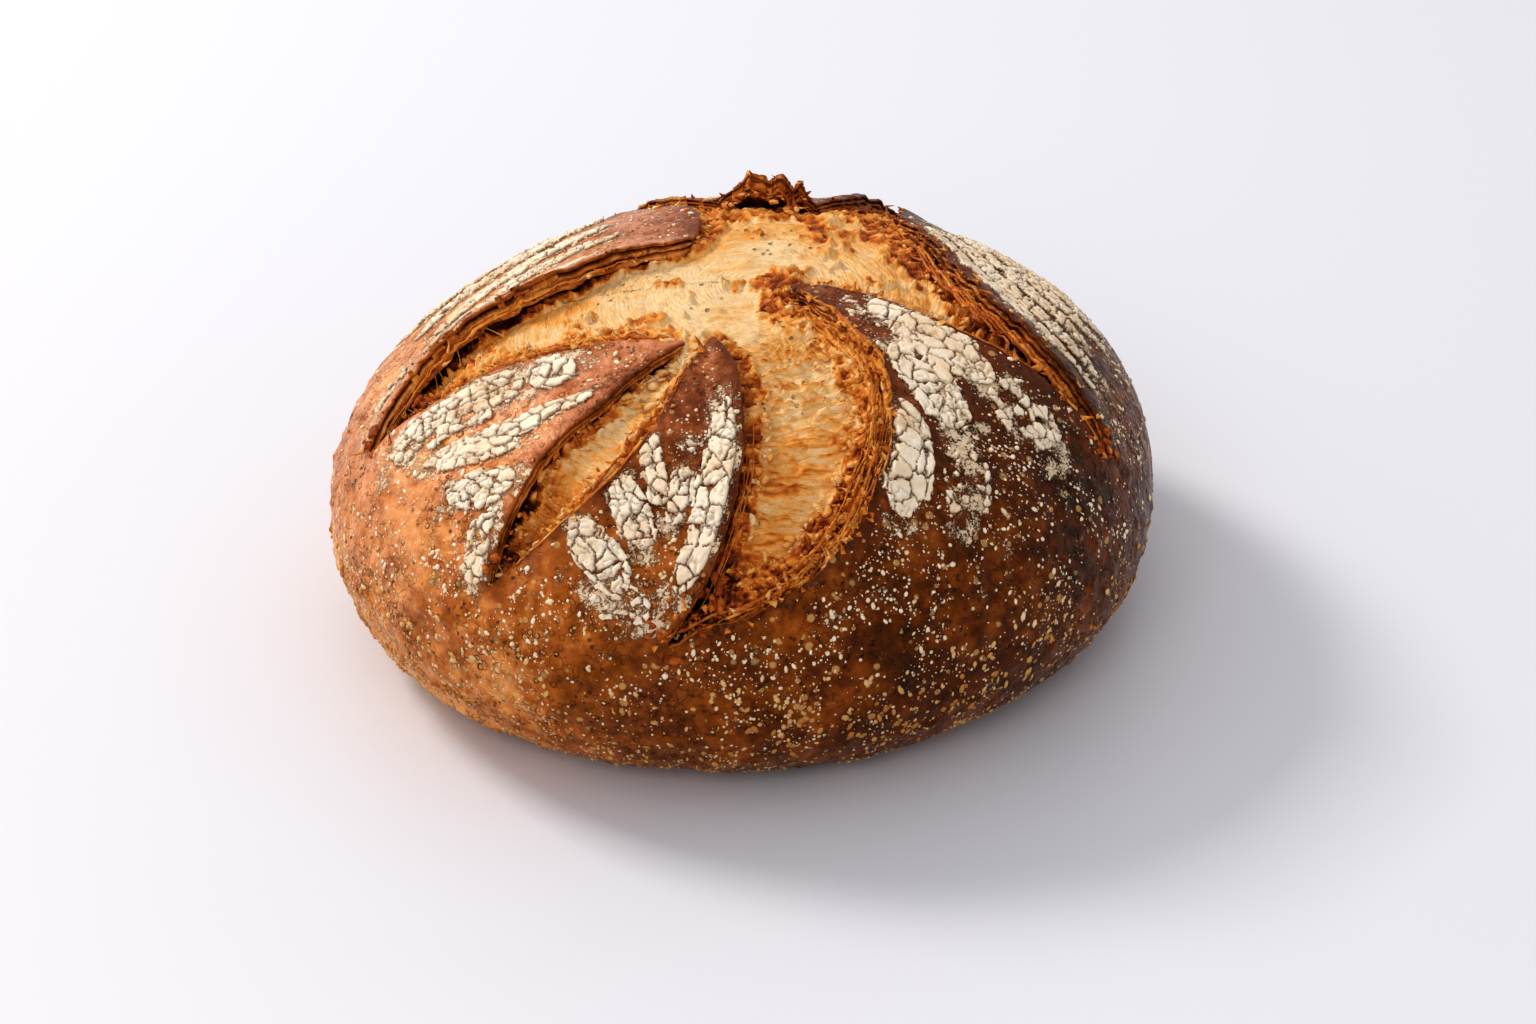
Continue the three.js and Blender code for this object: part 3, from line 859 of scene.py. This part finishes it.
def loaf():
    """The crust with its rolled lips, as one closed piece. It stands in for the CAD's loaf."""
    mesh = crust_sheet()
    rolled = take_values(mesh, "rolled")
    flat = sheet_of(mesh)[:, :2]
    index, gap = nearest(flat)
    gap = np.where(rolled > 0, 0, gap)
    rise = skin_rise(flat, index, gap)
    step = np.clip(rolled.astype(int) - 1, 0, len(ROLL) - 1)
    marks = np.column_stack([OUTLINE["along"][index], 9.0 * step, np.zeros(len(flat))])
    wander = clouds(marks, 6, 3, 60)
    under, fallen = roll_under(flat, rise, rolled, index, wander)

    place = bend(flat, rise)
    angle, run = polar(flat)
    reach = run / CROWN_LENGTH
    singed = OUTLINE["burn"][index] * np.exp(-np.abs(gap) / 1.6) * (0.75 + 0.5 * clouds(place, 5, 2, 61))
    # The crust's bake and burnt lips, plus painted shade: the sides turned away from the key light are
    # darker.
    bake = np.clip(crust_bake(place, angle, reach) + 0.5 * singed, 0, 1)
    skin = rolled < 1
    specks = np.clip(0.05 + 0.75 * grain_density(flat), 0, 0.7) * smooth(-gap, 2, 6)
    add_values(
        mesh, bake=lip_bake(bake, rolled, index, wander), blush=crust_blush(place, angle, gap, reach) * skin,
        specks=np.where(skin, specks, -1), flour=flour_dust(flat) - 2 * (rolled >= 1))
    piece = settle(mesh, np.column_stack([under, fallen]), crust_finish())
    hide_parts("loaf")
    return piece


def crust_bake(place, angle, reach):
    """How dark the crust is: golden at the left, dark at the front and the right. Partly the crust's real
    bake and partly painted shade: lighter on the side that faces the key light, darker on the sides turned
    away from it.
    """
    left = np.exp(-np.abs(degrees_from(angle, 185) / 66) ** 3.4)
    dark = 0.73 - 0.5 * left + 0.16 * clouds(place, 30, 3, 62) + 0.12 * clouds(place, 6, 3, 63)
    dark += 0.08 * band(degrees_from(angle, 320), 0, 50) - 0.12 * smooth(reach, 1.08, 1.3)
    return np.clip(dark, 0, 1)


def crust_blush(place, angle, gap, reach):
    """The smooth purple-brown skin towards the petals' tips and lips."""
    tips = 0.95 * smooth(reach, 0.66, 0.34)
    lips = 0.5 * np.exp(-np.abs(gap) / 4) * (reach < 0.8)
    lips += 0.55 * band(degrees_from(angle, 200), 0, 34) * smooth(reach, 1.1, 0.8)
    return np.clip(tips + lips + 0.3 * clouds(place, 12, 3, 64), 0, 0.9)


def flour_dust(flat):
    """Loose flour round the cracked patches."""
    dust = np.full(len(flat), -1.0)
    for half, _, _, spine in (leaf for leaves in FLOUR_LEAVES.values() for leaf in leaves):
        line, _ = curve(spot(spine), 2.0)
        away = np.min([np.hypot(*(flat - point).T) for point in line], axis=0)
        dust = np.maximum(dust, 0.3 - 0.75 * smooth(away, half * 0.6, half * 1.7 + 2))
    return np.maximum(dust, 0.1 * band(np.hypot(*flat.T) / CROWN_LENGTH, 0.82, 0.2))


# ---- The crumb in the opening ----
CRUMB_REACH = 0.96  # of the way from the crown to the loaf's widest part
CRUMB_MARGIN = 6  # how far it runs on under the petals
CRUMB_TUCK = 2.5  # how far it dips there
CRUMB_THICKNESS = 6


def crumb():
    """The torn inside that shows in the opening and runs on under the petals' edges."""
    half = CROWN_LENGTH * CRUMB_REACH
    count = int(2 * half / CRUMB_STEP)
    sheet = bmesh.new()
    bmesh.ops.create_grid(sheet, x_segments=count, y_segments=count, size=half)
    flat = np.array([v.co.xy for v in sheet.verts])
    _, gap = nearest(flat)
    outside = [v for v, g in zip(sheet.verts, gap) if g < -CRUMB_MARGIN]
    bmesh.ops.delete(sheet, geom=outside, context="VERTS")
    keep_whole(sheet)
    rim = [e for e in sheet.edges if e.is_boundary]
    lower = sheet.verts.layers.float.new("lower")
    made = bmesh.ops.extrude_edge_only(sheet, edges=rim)["geom"]
    for vert in (g for g in made if isinstance(g, bmesh.types.BMVert)):
        vert[lower] = 1
    close_bottom(sheet, [g for g in made if isinstance(g, bmesh.types.BMEdge)])
    mesh = to_mesh(sheet, "crumb")

    lower = take_values(mesh, "lower")
    flat = sheet_of(mesh)[:, :2]
    index, gap = nearest(flat)
    rise, toast = crumb_rise(flat, index, gap)
    tucked = smooth(-gap, 0, 3)
    rise -= CRUMB_TUCK * tucked
    rise -= CRUMB_THICKNESS * lower
    # Painted shade: the crumb is darker where it runs on under the petals' lips.
    add_values(mesh, toast=np.clip(toast + 0.3 * tucked, 0, 1))
    add_flow(mesh, flat)
    return settle(mesh, np.column_stack([flat, rise]), crumb_finish())


# ---- Cracked flour ----
def leaf_height(here, flat, run, half, plate, flaked, number):
    """Height of a flour patch above the crust: flat plates with thin cracks, and flakes missing."""
    marks, across = here[:, 0], here[:, 1]
    share = marks / run
    width = half * (1 - np.abs(2 * share - 1) ** 2.6) ** 0.5 * (1 + 0.22 * clouds(here, 6, 3, 70))
    jag = np.column_stack([clouds(here, 1.6, 2, 68), clouds(here, 1.6, 2, 69)])
    bent = np.column_stack([clouds(here, plate, 2, 72), clouds(here, plate, 2, 73)])
    warped = here[:, :2] / plate * (0.7, 0.95) + 0.32 * bent + 0.14 * jag
    wall, seat = cell_walls(warped, 74 + number, seats=True)
    wall = wall * plate
    own = np.column_stack([seat, np.full(len(seat), 3.0 * number)])
    level, tilt = noise(own, 0.31, 77), noise(own, 0.37, 79)
    inset = width - np.abs(across) + 0.5 * noise(here, 1.5, 71) + 0.3 * plate * level
    crack = 0.26 + 0.5 * np.maximum(clouds(here, 5, 2, 76), -0.3)
    groove = smooth(wall, crack + 0.34, 0.3 * crack)
    fine = cell_walls(warped * 2.1 + 7, 75 + number) * plate / 2.1
    hair = smooth(clouds(here, plate * 1.4, 2, 81), -0.2, 0.2) * smooth(fine, 0.5, 0.12)
    gone = smooth(0.5 + 0.5 * level, flaked - 0.02, flaked - 0.06)
    _, gap = nearest(flat)
    inside = smooth(inset, -0.25, 0.2) * smooth(-gap, 0.9, 1.6)
    body = np.sqrt(1 - (1 - np.clip(inset / 1.1, 0, 1)) ** 2) * smooth(-gap, 0.9, 2.6)
    height = 1.2 * body * (1 - 0.95 * groove) * (1 - 0.45 * hair) - 0.25
    uneven = 0.16 * level + 0.12 * tilt * clouds(here, plate, 1, 82) + 0.1 * clouds(here, 1.3, 2, 78)
    height += body * uneven
    return height - 1.6 * gone - 0.6 * (1 - inside)


def flour_leaf(sheet, number, half, plate, flaked, spine):
    """One patch of flour: a strip along its spine, cracked into plates."""
    line, run = curve(spot(spine), FLOUR_STEP)
    columns, rows = len(line) - 1, max(int(2.4 * half / FLOUR_STEP), 4)
    leaf = bmesh.new()
    bmesh.ops.create_grid(leaf, x_segments=columns, y_segments=rows, size=1)
    x, y = np.array([v.co.xy for v in leaf.verts]).T
    marks = (x + 1) / 2 * run[-1]
    ahead = np.gradient(line, axis=0)
    ahead /= np.linalg.norm(ahead, axis=1, keepdims=True)
    middle = np.column_stack([np.interp(marks, run, line[:, i]) for i in range(2)])
    side = np.column_stack([np.interp(marks, run, -ahead[:, 1]), np.interp(marks, run, ahead[:, 0])])
    across = y * half * 1.25
    flat = middle + side * across[:, None]
    here = solid(np.column_stack([marks, across])) + (0, 0, 40.0 * number)
    height = leaf_height(here, flat, run[-1], half, plate, flaked, number)
    index, gap = nearest(flat)
    rise = skin_rise(flat, index, gap) + height
    low = leaf.verts.layers.float.new("low")
    for vert, (u, v), r, h in zip(leaf.verts, flat, rise, height):
        vert.co = (u, v, r)
        vert[low] = float(np.clip(0.95 - h * 1.6, 0, 1))
    outside = [v for v, h in zip(leaf.verts, height) if h < -0.42]
    bmesh.ops.delete(leaf, geom=outside, context="VERTS")
    keep_whole(leaf)
    bmesh.ops.delete(leaf, geom=[v for v in leaf.verts if not v.link_faces], context="VERTS")
    part = to_mesh(leaf, "leaf")
    sheet.from_mesh(part)
    bpy.data.meshes.remove(part)


def flour(petal, leaves):
    sheet = bmesh.new()
    for number, (half, plate, flaked, spine) in enumerate(leaves):
        flour_leaf(sheet, number + 10 * len(petal), half, plate, flaked, spine)
    bmesh.ops.solidify(sheet, geom=list(sheet.faces), thickness=0.9)
    mesh = to_mesh(sheet, f"flour_on_{petal}_petal")
    material = bpy.data.materials.get("baked_flour") or flour_finish()
    return settle(mesh, sheet_of(mesh), material)


# ---- Grains and shreds ----
def many(make, count, name):
    """Copies one small shape by doubling. Gives the mesh, its vertices and which copy each is in."""
    group = bmesh.new()
    make(group)
    which = group.verts.layers.int.new("which")
    made = 1
    while made < count:
        extra = bmesh.ops.duplicate(group, geom=group.verts[:] + group.edges[:] + group.faces[:])["geom"]
        for vert in (g for g in extra if isinstance(g, bmesh.types.BMVert)):
            vert[which] += made
        made *= 2
    spare = [v for v in group.verts if v[which] >= count]
    bmesh.ops.delete(group, geom=spare, context="VERTS")
    mesh = to_mesh(group, name)
    numbers = take_values(mesh, "which", np.int32)
    return mesh, sheet_of(mesh), numbers


def grain_density(flat):
    """How thickly the grains lie, from 0 to 1."""
    angle, run = polar(flat)
    reach = run / CROWN_LENGTH
    place = bend(flat, np.zeros(len(flat)))
    right = band(degrees_from(angle, 314), 0, 32) * band(reach, 0.8, 0.22)
    front = 0.9 * band(degrees_from(angle, 254), 0, 32) * band(reach, 0.92, 0.14)
    left = 0.85 * band(degrees_from(angle, 226), 0, 28) * band(reach, 0.9, 0.16)
    behind = 0.25 * band(degrees_from(angle, 60), 0, 80) * band(reach, 0.85, 0.22)
    patches = smooth(clouds(place, 12, 4, 80), -0.25, 0.4)
    near = 0.8 * smooth(flour_dust(flat), -0.3, 0.2)
    side = 0.06 + 0.12 * smooth(reach, 0.95, 1.2)
    return np.clip((right + front + left + behind + near) * patches + side, 0, 1)


def scattered(count, density, least_gap):
    """Random spots on the crust, as thick as the density says."""
    kept = []
    while sum(map(len, kept)) < count:
        tries = rng.uniform(-HEEL_RUN, HEEL_RUN, (count * 3, 2))
        tries = tries[np.hypot(*tries.T) < HEEL_RUN - 3]
        tries = tries[rng.random(len(tries)) < density(tries)]
        kept.append(tries)
    flat = np.vstack(kept)
    index, gap = nearest(flat)
    chosen = gap < -least_gap
    return flat[chosen][:count], index[chosen][:count], gap[chosen][:count]


def turned(shape, size, which, turn, tilt):
    """Scales each copy, tilts it about x and turns it about z."""
    x, y, z = (shape * size[which]).T
    c, s = np.cos(tilt[which]), np.sin(tilt[which])
    y, z = c * y - s * z, s * y + c * z
    c, s = np.cos(turn[which]), np.sin(turn[which])
    return np.column_stack([c * x - s * y, s * x + c * y, z])


def grains(count=9600):
    """Small white crumbs of flour in drifts, and long flush grains lower down the side."""
    flat, index, gap = scattered(count, grain_density, 1.2)
    count = len(flat)
    mesh, shape, which = many(
        lambda g: bmesh.ops.create_icosphere(g, subdivisions=1, radius=1), count, "semolina_grains")
    low = smooth(np.hypot(*flat.T) / CROWN_LENGTH, 0.9, 1.05)
    big = rng.random(count) ** (5 - 2.6 * low)
    length = 0.17 + (0.7 + 0.35 * low) * big
    long, high = rng.uniform(1, 1.9, count), rng.uniform(0.4, 0.8, count)
    size = np.column_stack([length * long, length, length * high])
    body = turned(shape, size, which, rng.uniform(0, 2 * math.pi, count), rng.uniform(-0.4, 0.4, count))
    rise = skin_rise(flat, index, gap) + (0.15 - 0.35 * low * big) * size[:, 2]
    sheet = body + np.column_stack([flat, rise])[which]
    shade = np.clip(rng.normal(0.85, 0.15, count) - 0.55 * low * big**0.5 - 0.25 * low, 0, 1)
    add_values(mesh, shade=shade[which])
    return settle(mesh, sheet, grain_finish())


def shred(group, cuts=5):
    """A square bar along x, one unit each way, cut across."""
    bmesh.ops.create_cube(group, size=1)
    along = [e for e in group.edges if abs(e.verts[0].co.x - e.verts[1].co.x) > 0.5]
    bmesh.ops.subdivide_edges(group, edges=along, cuts=cuts)


def torn_height(flat, index, gap):
    """Height of whatever shows at a spot near an edge, and how toasted the crumb is there."""
    crumb_at, toast = crumb_rise(flat, index, gap)
    crust_at = skin_rise(flat, index, np.minimum(gap, 0))
    return np.where(gap > 0, np.maximum(crumb_at, crust_at - 4), crust_at), toast


def shreds(count=520):
    """Short torn points of crust and crumb along the ragged edges."""
    ragged = (OUTLINE["rag"] - 0.25) * (1 + OUTLINE["burn"])
    pick = rng.choice(len(ragged), count, p=ragged / ragged.sum())
    into = OUTLINE["into"][pick]
    flat = OUTLINE["at"][pick] + into * rng.normal(1.6, 2.2, count)[:, None]
    index, gap = nearest(flat)
    mesh, shape, which = many(shred, count, "torn_shreds")
    length = rng.uniform(1.4, 3.4, count)[which]
    thick = rng.uniform(0.4, 0.9, count)[which]
    share = shape[:, 0] + 0.5
    taper = (1 - share) ** 0.7 + 0.06
    x = share * length
    y = shape[:, 1] * thick * 2.2 * taper + rng.uniform(-0.2, 0.2, count)[which] * x * x
    z = shape[:, 2] * thick * taper + rng.uniform(-0.1, 0.25, count)[which] * x * x
    z += rng.uniform(-0.1, 0.4, count)[which] * x
    turn = np.arctan2(into[:, 1], into[:, 0]) + rng.normal(0, 0.9, count)
    c, s = np.cos(turn)[which], np.sin(turn)[which]
    start, _ = torn_height(flat, index, gap)
    sheet = np.column_stack([c * x - s * y, s * x + c * y, z]) + np.column_stack([flat, start])[which]
    toast = np.clip(rng.normal(0.42, 0.12, count) + 0.25 * OUTLINE["burn"][index] ** 3, 0, 1)
    add_values(mesh, toast=np.clip(toast[which] + 0.25 * (share - 0.6), 0, 1))
    add_flow(mesh, sheet[:, :2])
    return settle(mesh, sheet, bpy.data.materials["torn_crumb"])


def clots(count=1500):
    """Small rough lumps of toasted crumb in the torn fringes."""
    fringe = np.array([edge["fringe"] for edge in PETAL_EDGES], float)
    width = fringe[OUTLINE["edge"]]
    pick = rng.choice(len(width), count, p=width**1.5 / (width**1.5).sum())
    flat = OUTLINE["at"][pick] + OUTLINE["into"][pick] * (rng.random(count) * width[pick])[:, None]
    index, gap = nearest(flat)
    mesh, shape, which = many(
        lambda g: bmesh.ops.create_icosphere(g, subdivisions=1, radius=1), count, "crumb_clots")
    shape = shape * (1 + 0.45 * rng.uniform(-1, 1, (len(shape), 1)))
    length = 0.35 + 1.0 * rng.random(count) ** 2.5
    long, high = rng.uniform(1, 2.2, count), rng.uniform(0.5, 0.9, count)
    size = np.column_stack([length * long, length, length * high])
    body = turned(shape, size, which, rng.uniform(0, 2 * math.pi, count), rng.uniform(-0.7, 0.7, count))
    rise, toast = torn_height(flat, index, gap)
    toast = np.clip(toast - 0.06 + rng.normal(0, 0.1, count), 0.12, 0.66)
    add_values(mesh, toast=toast[which])
    sheet = body + np.column_stack([flat, rise])[which]
    add_flow(mesh, sheet[:, :2])
    return settle(mesh, sheet, bpy.data.materials["torn_crumb"])


# Long threads that run beside an edge: (edge, how many, thickness, nearest gap, farthest gap, how high
# above the crumb, toast).
THREADS = [
    (4, 24, 1.1, -0.6, 6.5, 0.9, 0.42), (6, 14, 0.8, 0.4, 7, 0.8, 0.5), (12, 9, 0.7, 0.5, 3, 1.2, 0.4),
    (3, 5, 0.5, 0.8, 5, 0.6, 0.5), (0, 7, 0.6, 0.2, 4, 0.5, 0.4), (2, 6, 0.6, 0, 2.5, 0.4, 0.5),
    (5, 8, 0.7, 0.2, 4, 0.6, 0.42), (9, 6, 0.8, 0, 5, 0.9, 0.6), (8, 4, 0.7, 0, 4, 0.7, 0.55),
    (10, 4, 0.7, 0, 4, 0.7, 0.5), (11, 4, 0.6, 0, 4, 0.7, 0.45),
]
THREAD_CUTS = 60


def threads():
    """Stringy ridges of pulled dough along the edges."""
    rows = [row for row in THREADS for _ in range(row[1])]
    count = len(rows)
    mesh, shape, which = many(
        lambda g: shred(g, THREAD_CUTS), count, "dough_threads")
    sheet = np.empty((len(which), 3))
    toast = np.empty(len(which))
    for strand, (edge, _, width, near, far, above, tone) in enumerate(rows):
        mine = which == strand
        line, run = curve(spot(PETAL_EDGES[edge]["points"]), 1.0)
        ahead = np.gradient(line, axis=0)
        ahead /= np.linalg.norm(ahead, axis=1, keepdims=True)
        length = min(rng.uniform(18, 80), run[-1] * 0.85)
        start = rng.uniform(0.02 * run[-1], run[-1] * 0.98 - length)
        share = shape[mine, 0] + 0.5
        at = start + share * length
        column = np.column_stack([at, np.full(len(at), 30.0 * strand), 0 * at])
        out = rng.uniform(near, far) + 1.3 * clouds(column, 13, 3, 90)
        middle = np.column_stack([np.interp(at, run, line[:, i]) for i in range(2)])
        side = np.column_stack([np.interp(at, run, -ahead[:, 1]), np.interp(at, run, ahead[:, 0])])
        side *= np.sign((side * OUTLINE["into"][nearest(middle[:1])[0]]).sum())
        thick = width * rng.uniform(0.5, 1.3) * (1 - np.abs(2 * share - 1) ** 3) ** 0.5
        thick *= 1 + 0.35 * noise(column, 3, 91)
        flat = middle + side * (out + shape[mine, 1] * thick)[:, None]
        index, gap = nearest(flat)
        rise, _ = torn_height(flat, index, gap)
        rise = rise + above * (0.5 + 0.7 * clouds(column, 9, 2, 92)) + shape[mine, 2] * thick
        sheet[mine] = np.column_stack([flat, rise])
        toast[mine] = np.clip(tone + 0.16 * clouds(column, 5, 3, 93) + rng.normal(0, 0.06), 0, 1)
    add_values(mesh, toast=toast)
    add_flow(mesh, sheet[:, :2])
    return settle(mesh, sheet, bpy.data.materials["torn_crumb"])


# Thin webs pulled from an edge to the crumb: (edge, how many, first and last share of its run).
WEBS = [(12, 10, 0.3, 0.97), (4, 7, 0.1, 0.9), (5, 6, 0.4, 0.95), (6, 7, 0.05, 0.7), (1, 5, 0.4, 0.95)]
WEB_CUTS = 9


def along_edge(edge, first, last):
    """The outline samples between two shares of an edge's run."""
    samples = np.flatnonzero(OUTLINE["edge"] == edge)
    return samples[int(len(samples) * first):int(len(samples) * last)]


def webs():
    """Thin strings of dough still joining an edge to the crumb."""
    rows = [row for row in WEBS for _ in range(row[1])]
    count = len(rows)
    pick = np.array([rng.choice(along_edge(edge, first, last)) for edge, _, first, last in rows])
    mesh, shape, which = many(lambda g: shred(g, WEB_CUTS), count, "dough_webs")
    share = shape[:, 0] + 0.5
    ahead = rng.normal(0, 0.5, count)
    into = OUTLINE["into"][pick]
    side = np.column_stack([-into[:, 1], into[:, 0]])
    course = into + side * ahead[:, None]
    first = OUTLINE["at"][pick] - into * 0.8
    last = first + course * rng.uniform(3, 8, count)[:, None]
    high = -0.35 * (OUTLINE["lip"][pick] + OUTLINE["drop"][pick]) + OUTLINE["lip"][pick]
    index, gap = nearest(last)
    low = crumb_rise(last, index, gap)[0]
    thick = (0.25 + 0.9 * np.abs(2 * share - 1) ** 2.5) * rng.uniform(0.6, 1.2, count)[which]
    line = first[which] + (last - first)[which] * share[:, None]
    flat = line + side[which] * (shape[:, 1] * thick)[:, None]
    sag = rng.uniform(0, 1.2, count)[which] * share * (1 - share) * 4
    rise = high[which] + (low - high)[which] * share - sag + shape[:, 2] * thick
    add_values(mesh, toast=np.clip(rng.normal(0.3, 0.08, count), 0, 1)[which])
    add_flow(mesh, flat)
    return settle(mesh, np.column_stack([flat, rise]), bpy.data.materials["torn_crumb"])


# ---- Floor, lights and camera ----
def stage():
    """A wide pale floor under the loaf."""
    floor_mesh = bmesh.new()
    bmesh.ops.create_grid(floor_mesh, x_segments=1, y_segments=1, size=6)
    mesh = to_mesh(floor_mesh, "floor")
    floor = bpy.data.objects.new("floor", mesh)
    bpy.context.scene.collection.objects.link(floor)
    f = Finish("pale_floor")
    mesh.materials.append(f.dress((0.74, 0.74, 0.765, 1), 0.4, f.bump(f.noise(30, 2), 0.0001, 0.1)))


def lamp(name, place, size, power, colour):
    """A soft square light that faces the loaf."""
    data = bpy.data.lights.new(name, "AREA")
    data.size = size
    data.energy = power
    data.color = colour
    light = bpy.data.objects.new(name, data)
    light.location = place
    light.rotation_euler = (Vector((0, 0, 0.05)) - Vector(place)).to_track_quat("-Z", "Y").to_euler()
    bpy.context.scene.collection.objects.link(light)


def lights():
    """A main light behind the loaf's left shoulder, a weak one in front, and a pale room."""
    lamp("key", (-1.75, 1.2, 1.8), 0.7, 45, (1.0, 0.985, 0.96))
    lamp("fill", (-0.5, -1.7, 1.3), 1.2, 9, (0.97, 0.98, 1.0))
    world = bpy.data.worlds.new("studio")
    world.use_nodes = True
    world.node_tree.nodes["Background"].inputs[0].default_value = (0.94, 0.95, 1, 1)
    world.node_tree.nodes["Background"].inputs[1].default_value = 0.69
    bpy.context.scene.world = world
    view = bpy.context.scene.view_settings
    view.view_transform = "Standard"
    view.look = "Medium High Contrast"
    view.exposure = -0.1
    view.gamma = 0.87


CAMERA_RISE = 31.5  # degrees above the table
CAMERA_AWAY = 0.8805  # metres from the spot it aims at
AIM_RIGHT = 0.0059  # how far that spot lies from the loaf's middle, in metres
AIM_DOWN = 0.0239


def camera():
    """Looks down at the loaf from straight in front."""
    rise = math.radians(CAMERA_RISE)
    back = Vector((0, -math.cos(rise), math.sin(rise)))
    up = Vector((0, math.sin(rise), math.cos(rise)))
    middle = Vector((SHIFT[0] / 1000, SHIFT[1] / 1000, HEIGHT / 2000))
    aim = middle + Vector((AIM_RIGHT, 0, 0)) - up * AIM_DOWN
    data = bpy.data.cameras.new("camera")
    data.lens = 70
    data.sensor_width = 36
    view = bpy.data.objects.new("camera", data)
    view.location = aim + back * CAMERA_AWAY
    view.rotation_euler = (-back).to_track_quat("-Z", "Y").to_euler()
    bpy.context.scene.collection.objects.link(view)
    bpy.context.scene.camera = view


camera()
stage()
lights()
loaf()
crumb()
for petal, leaves in FLOUR_LEAVES.items():
    flour(petal, leaves)
grains()
shreds()
clots()
threads()
webs()
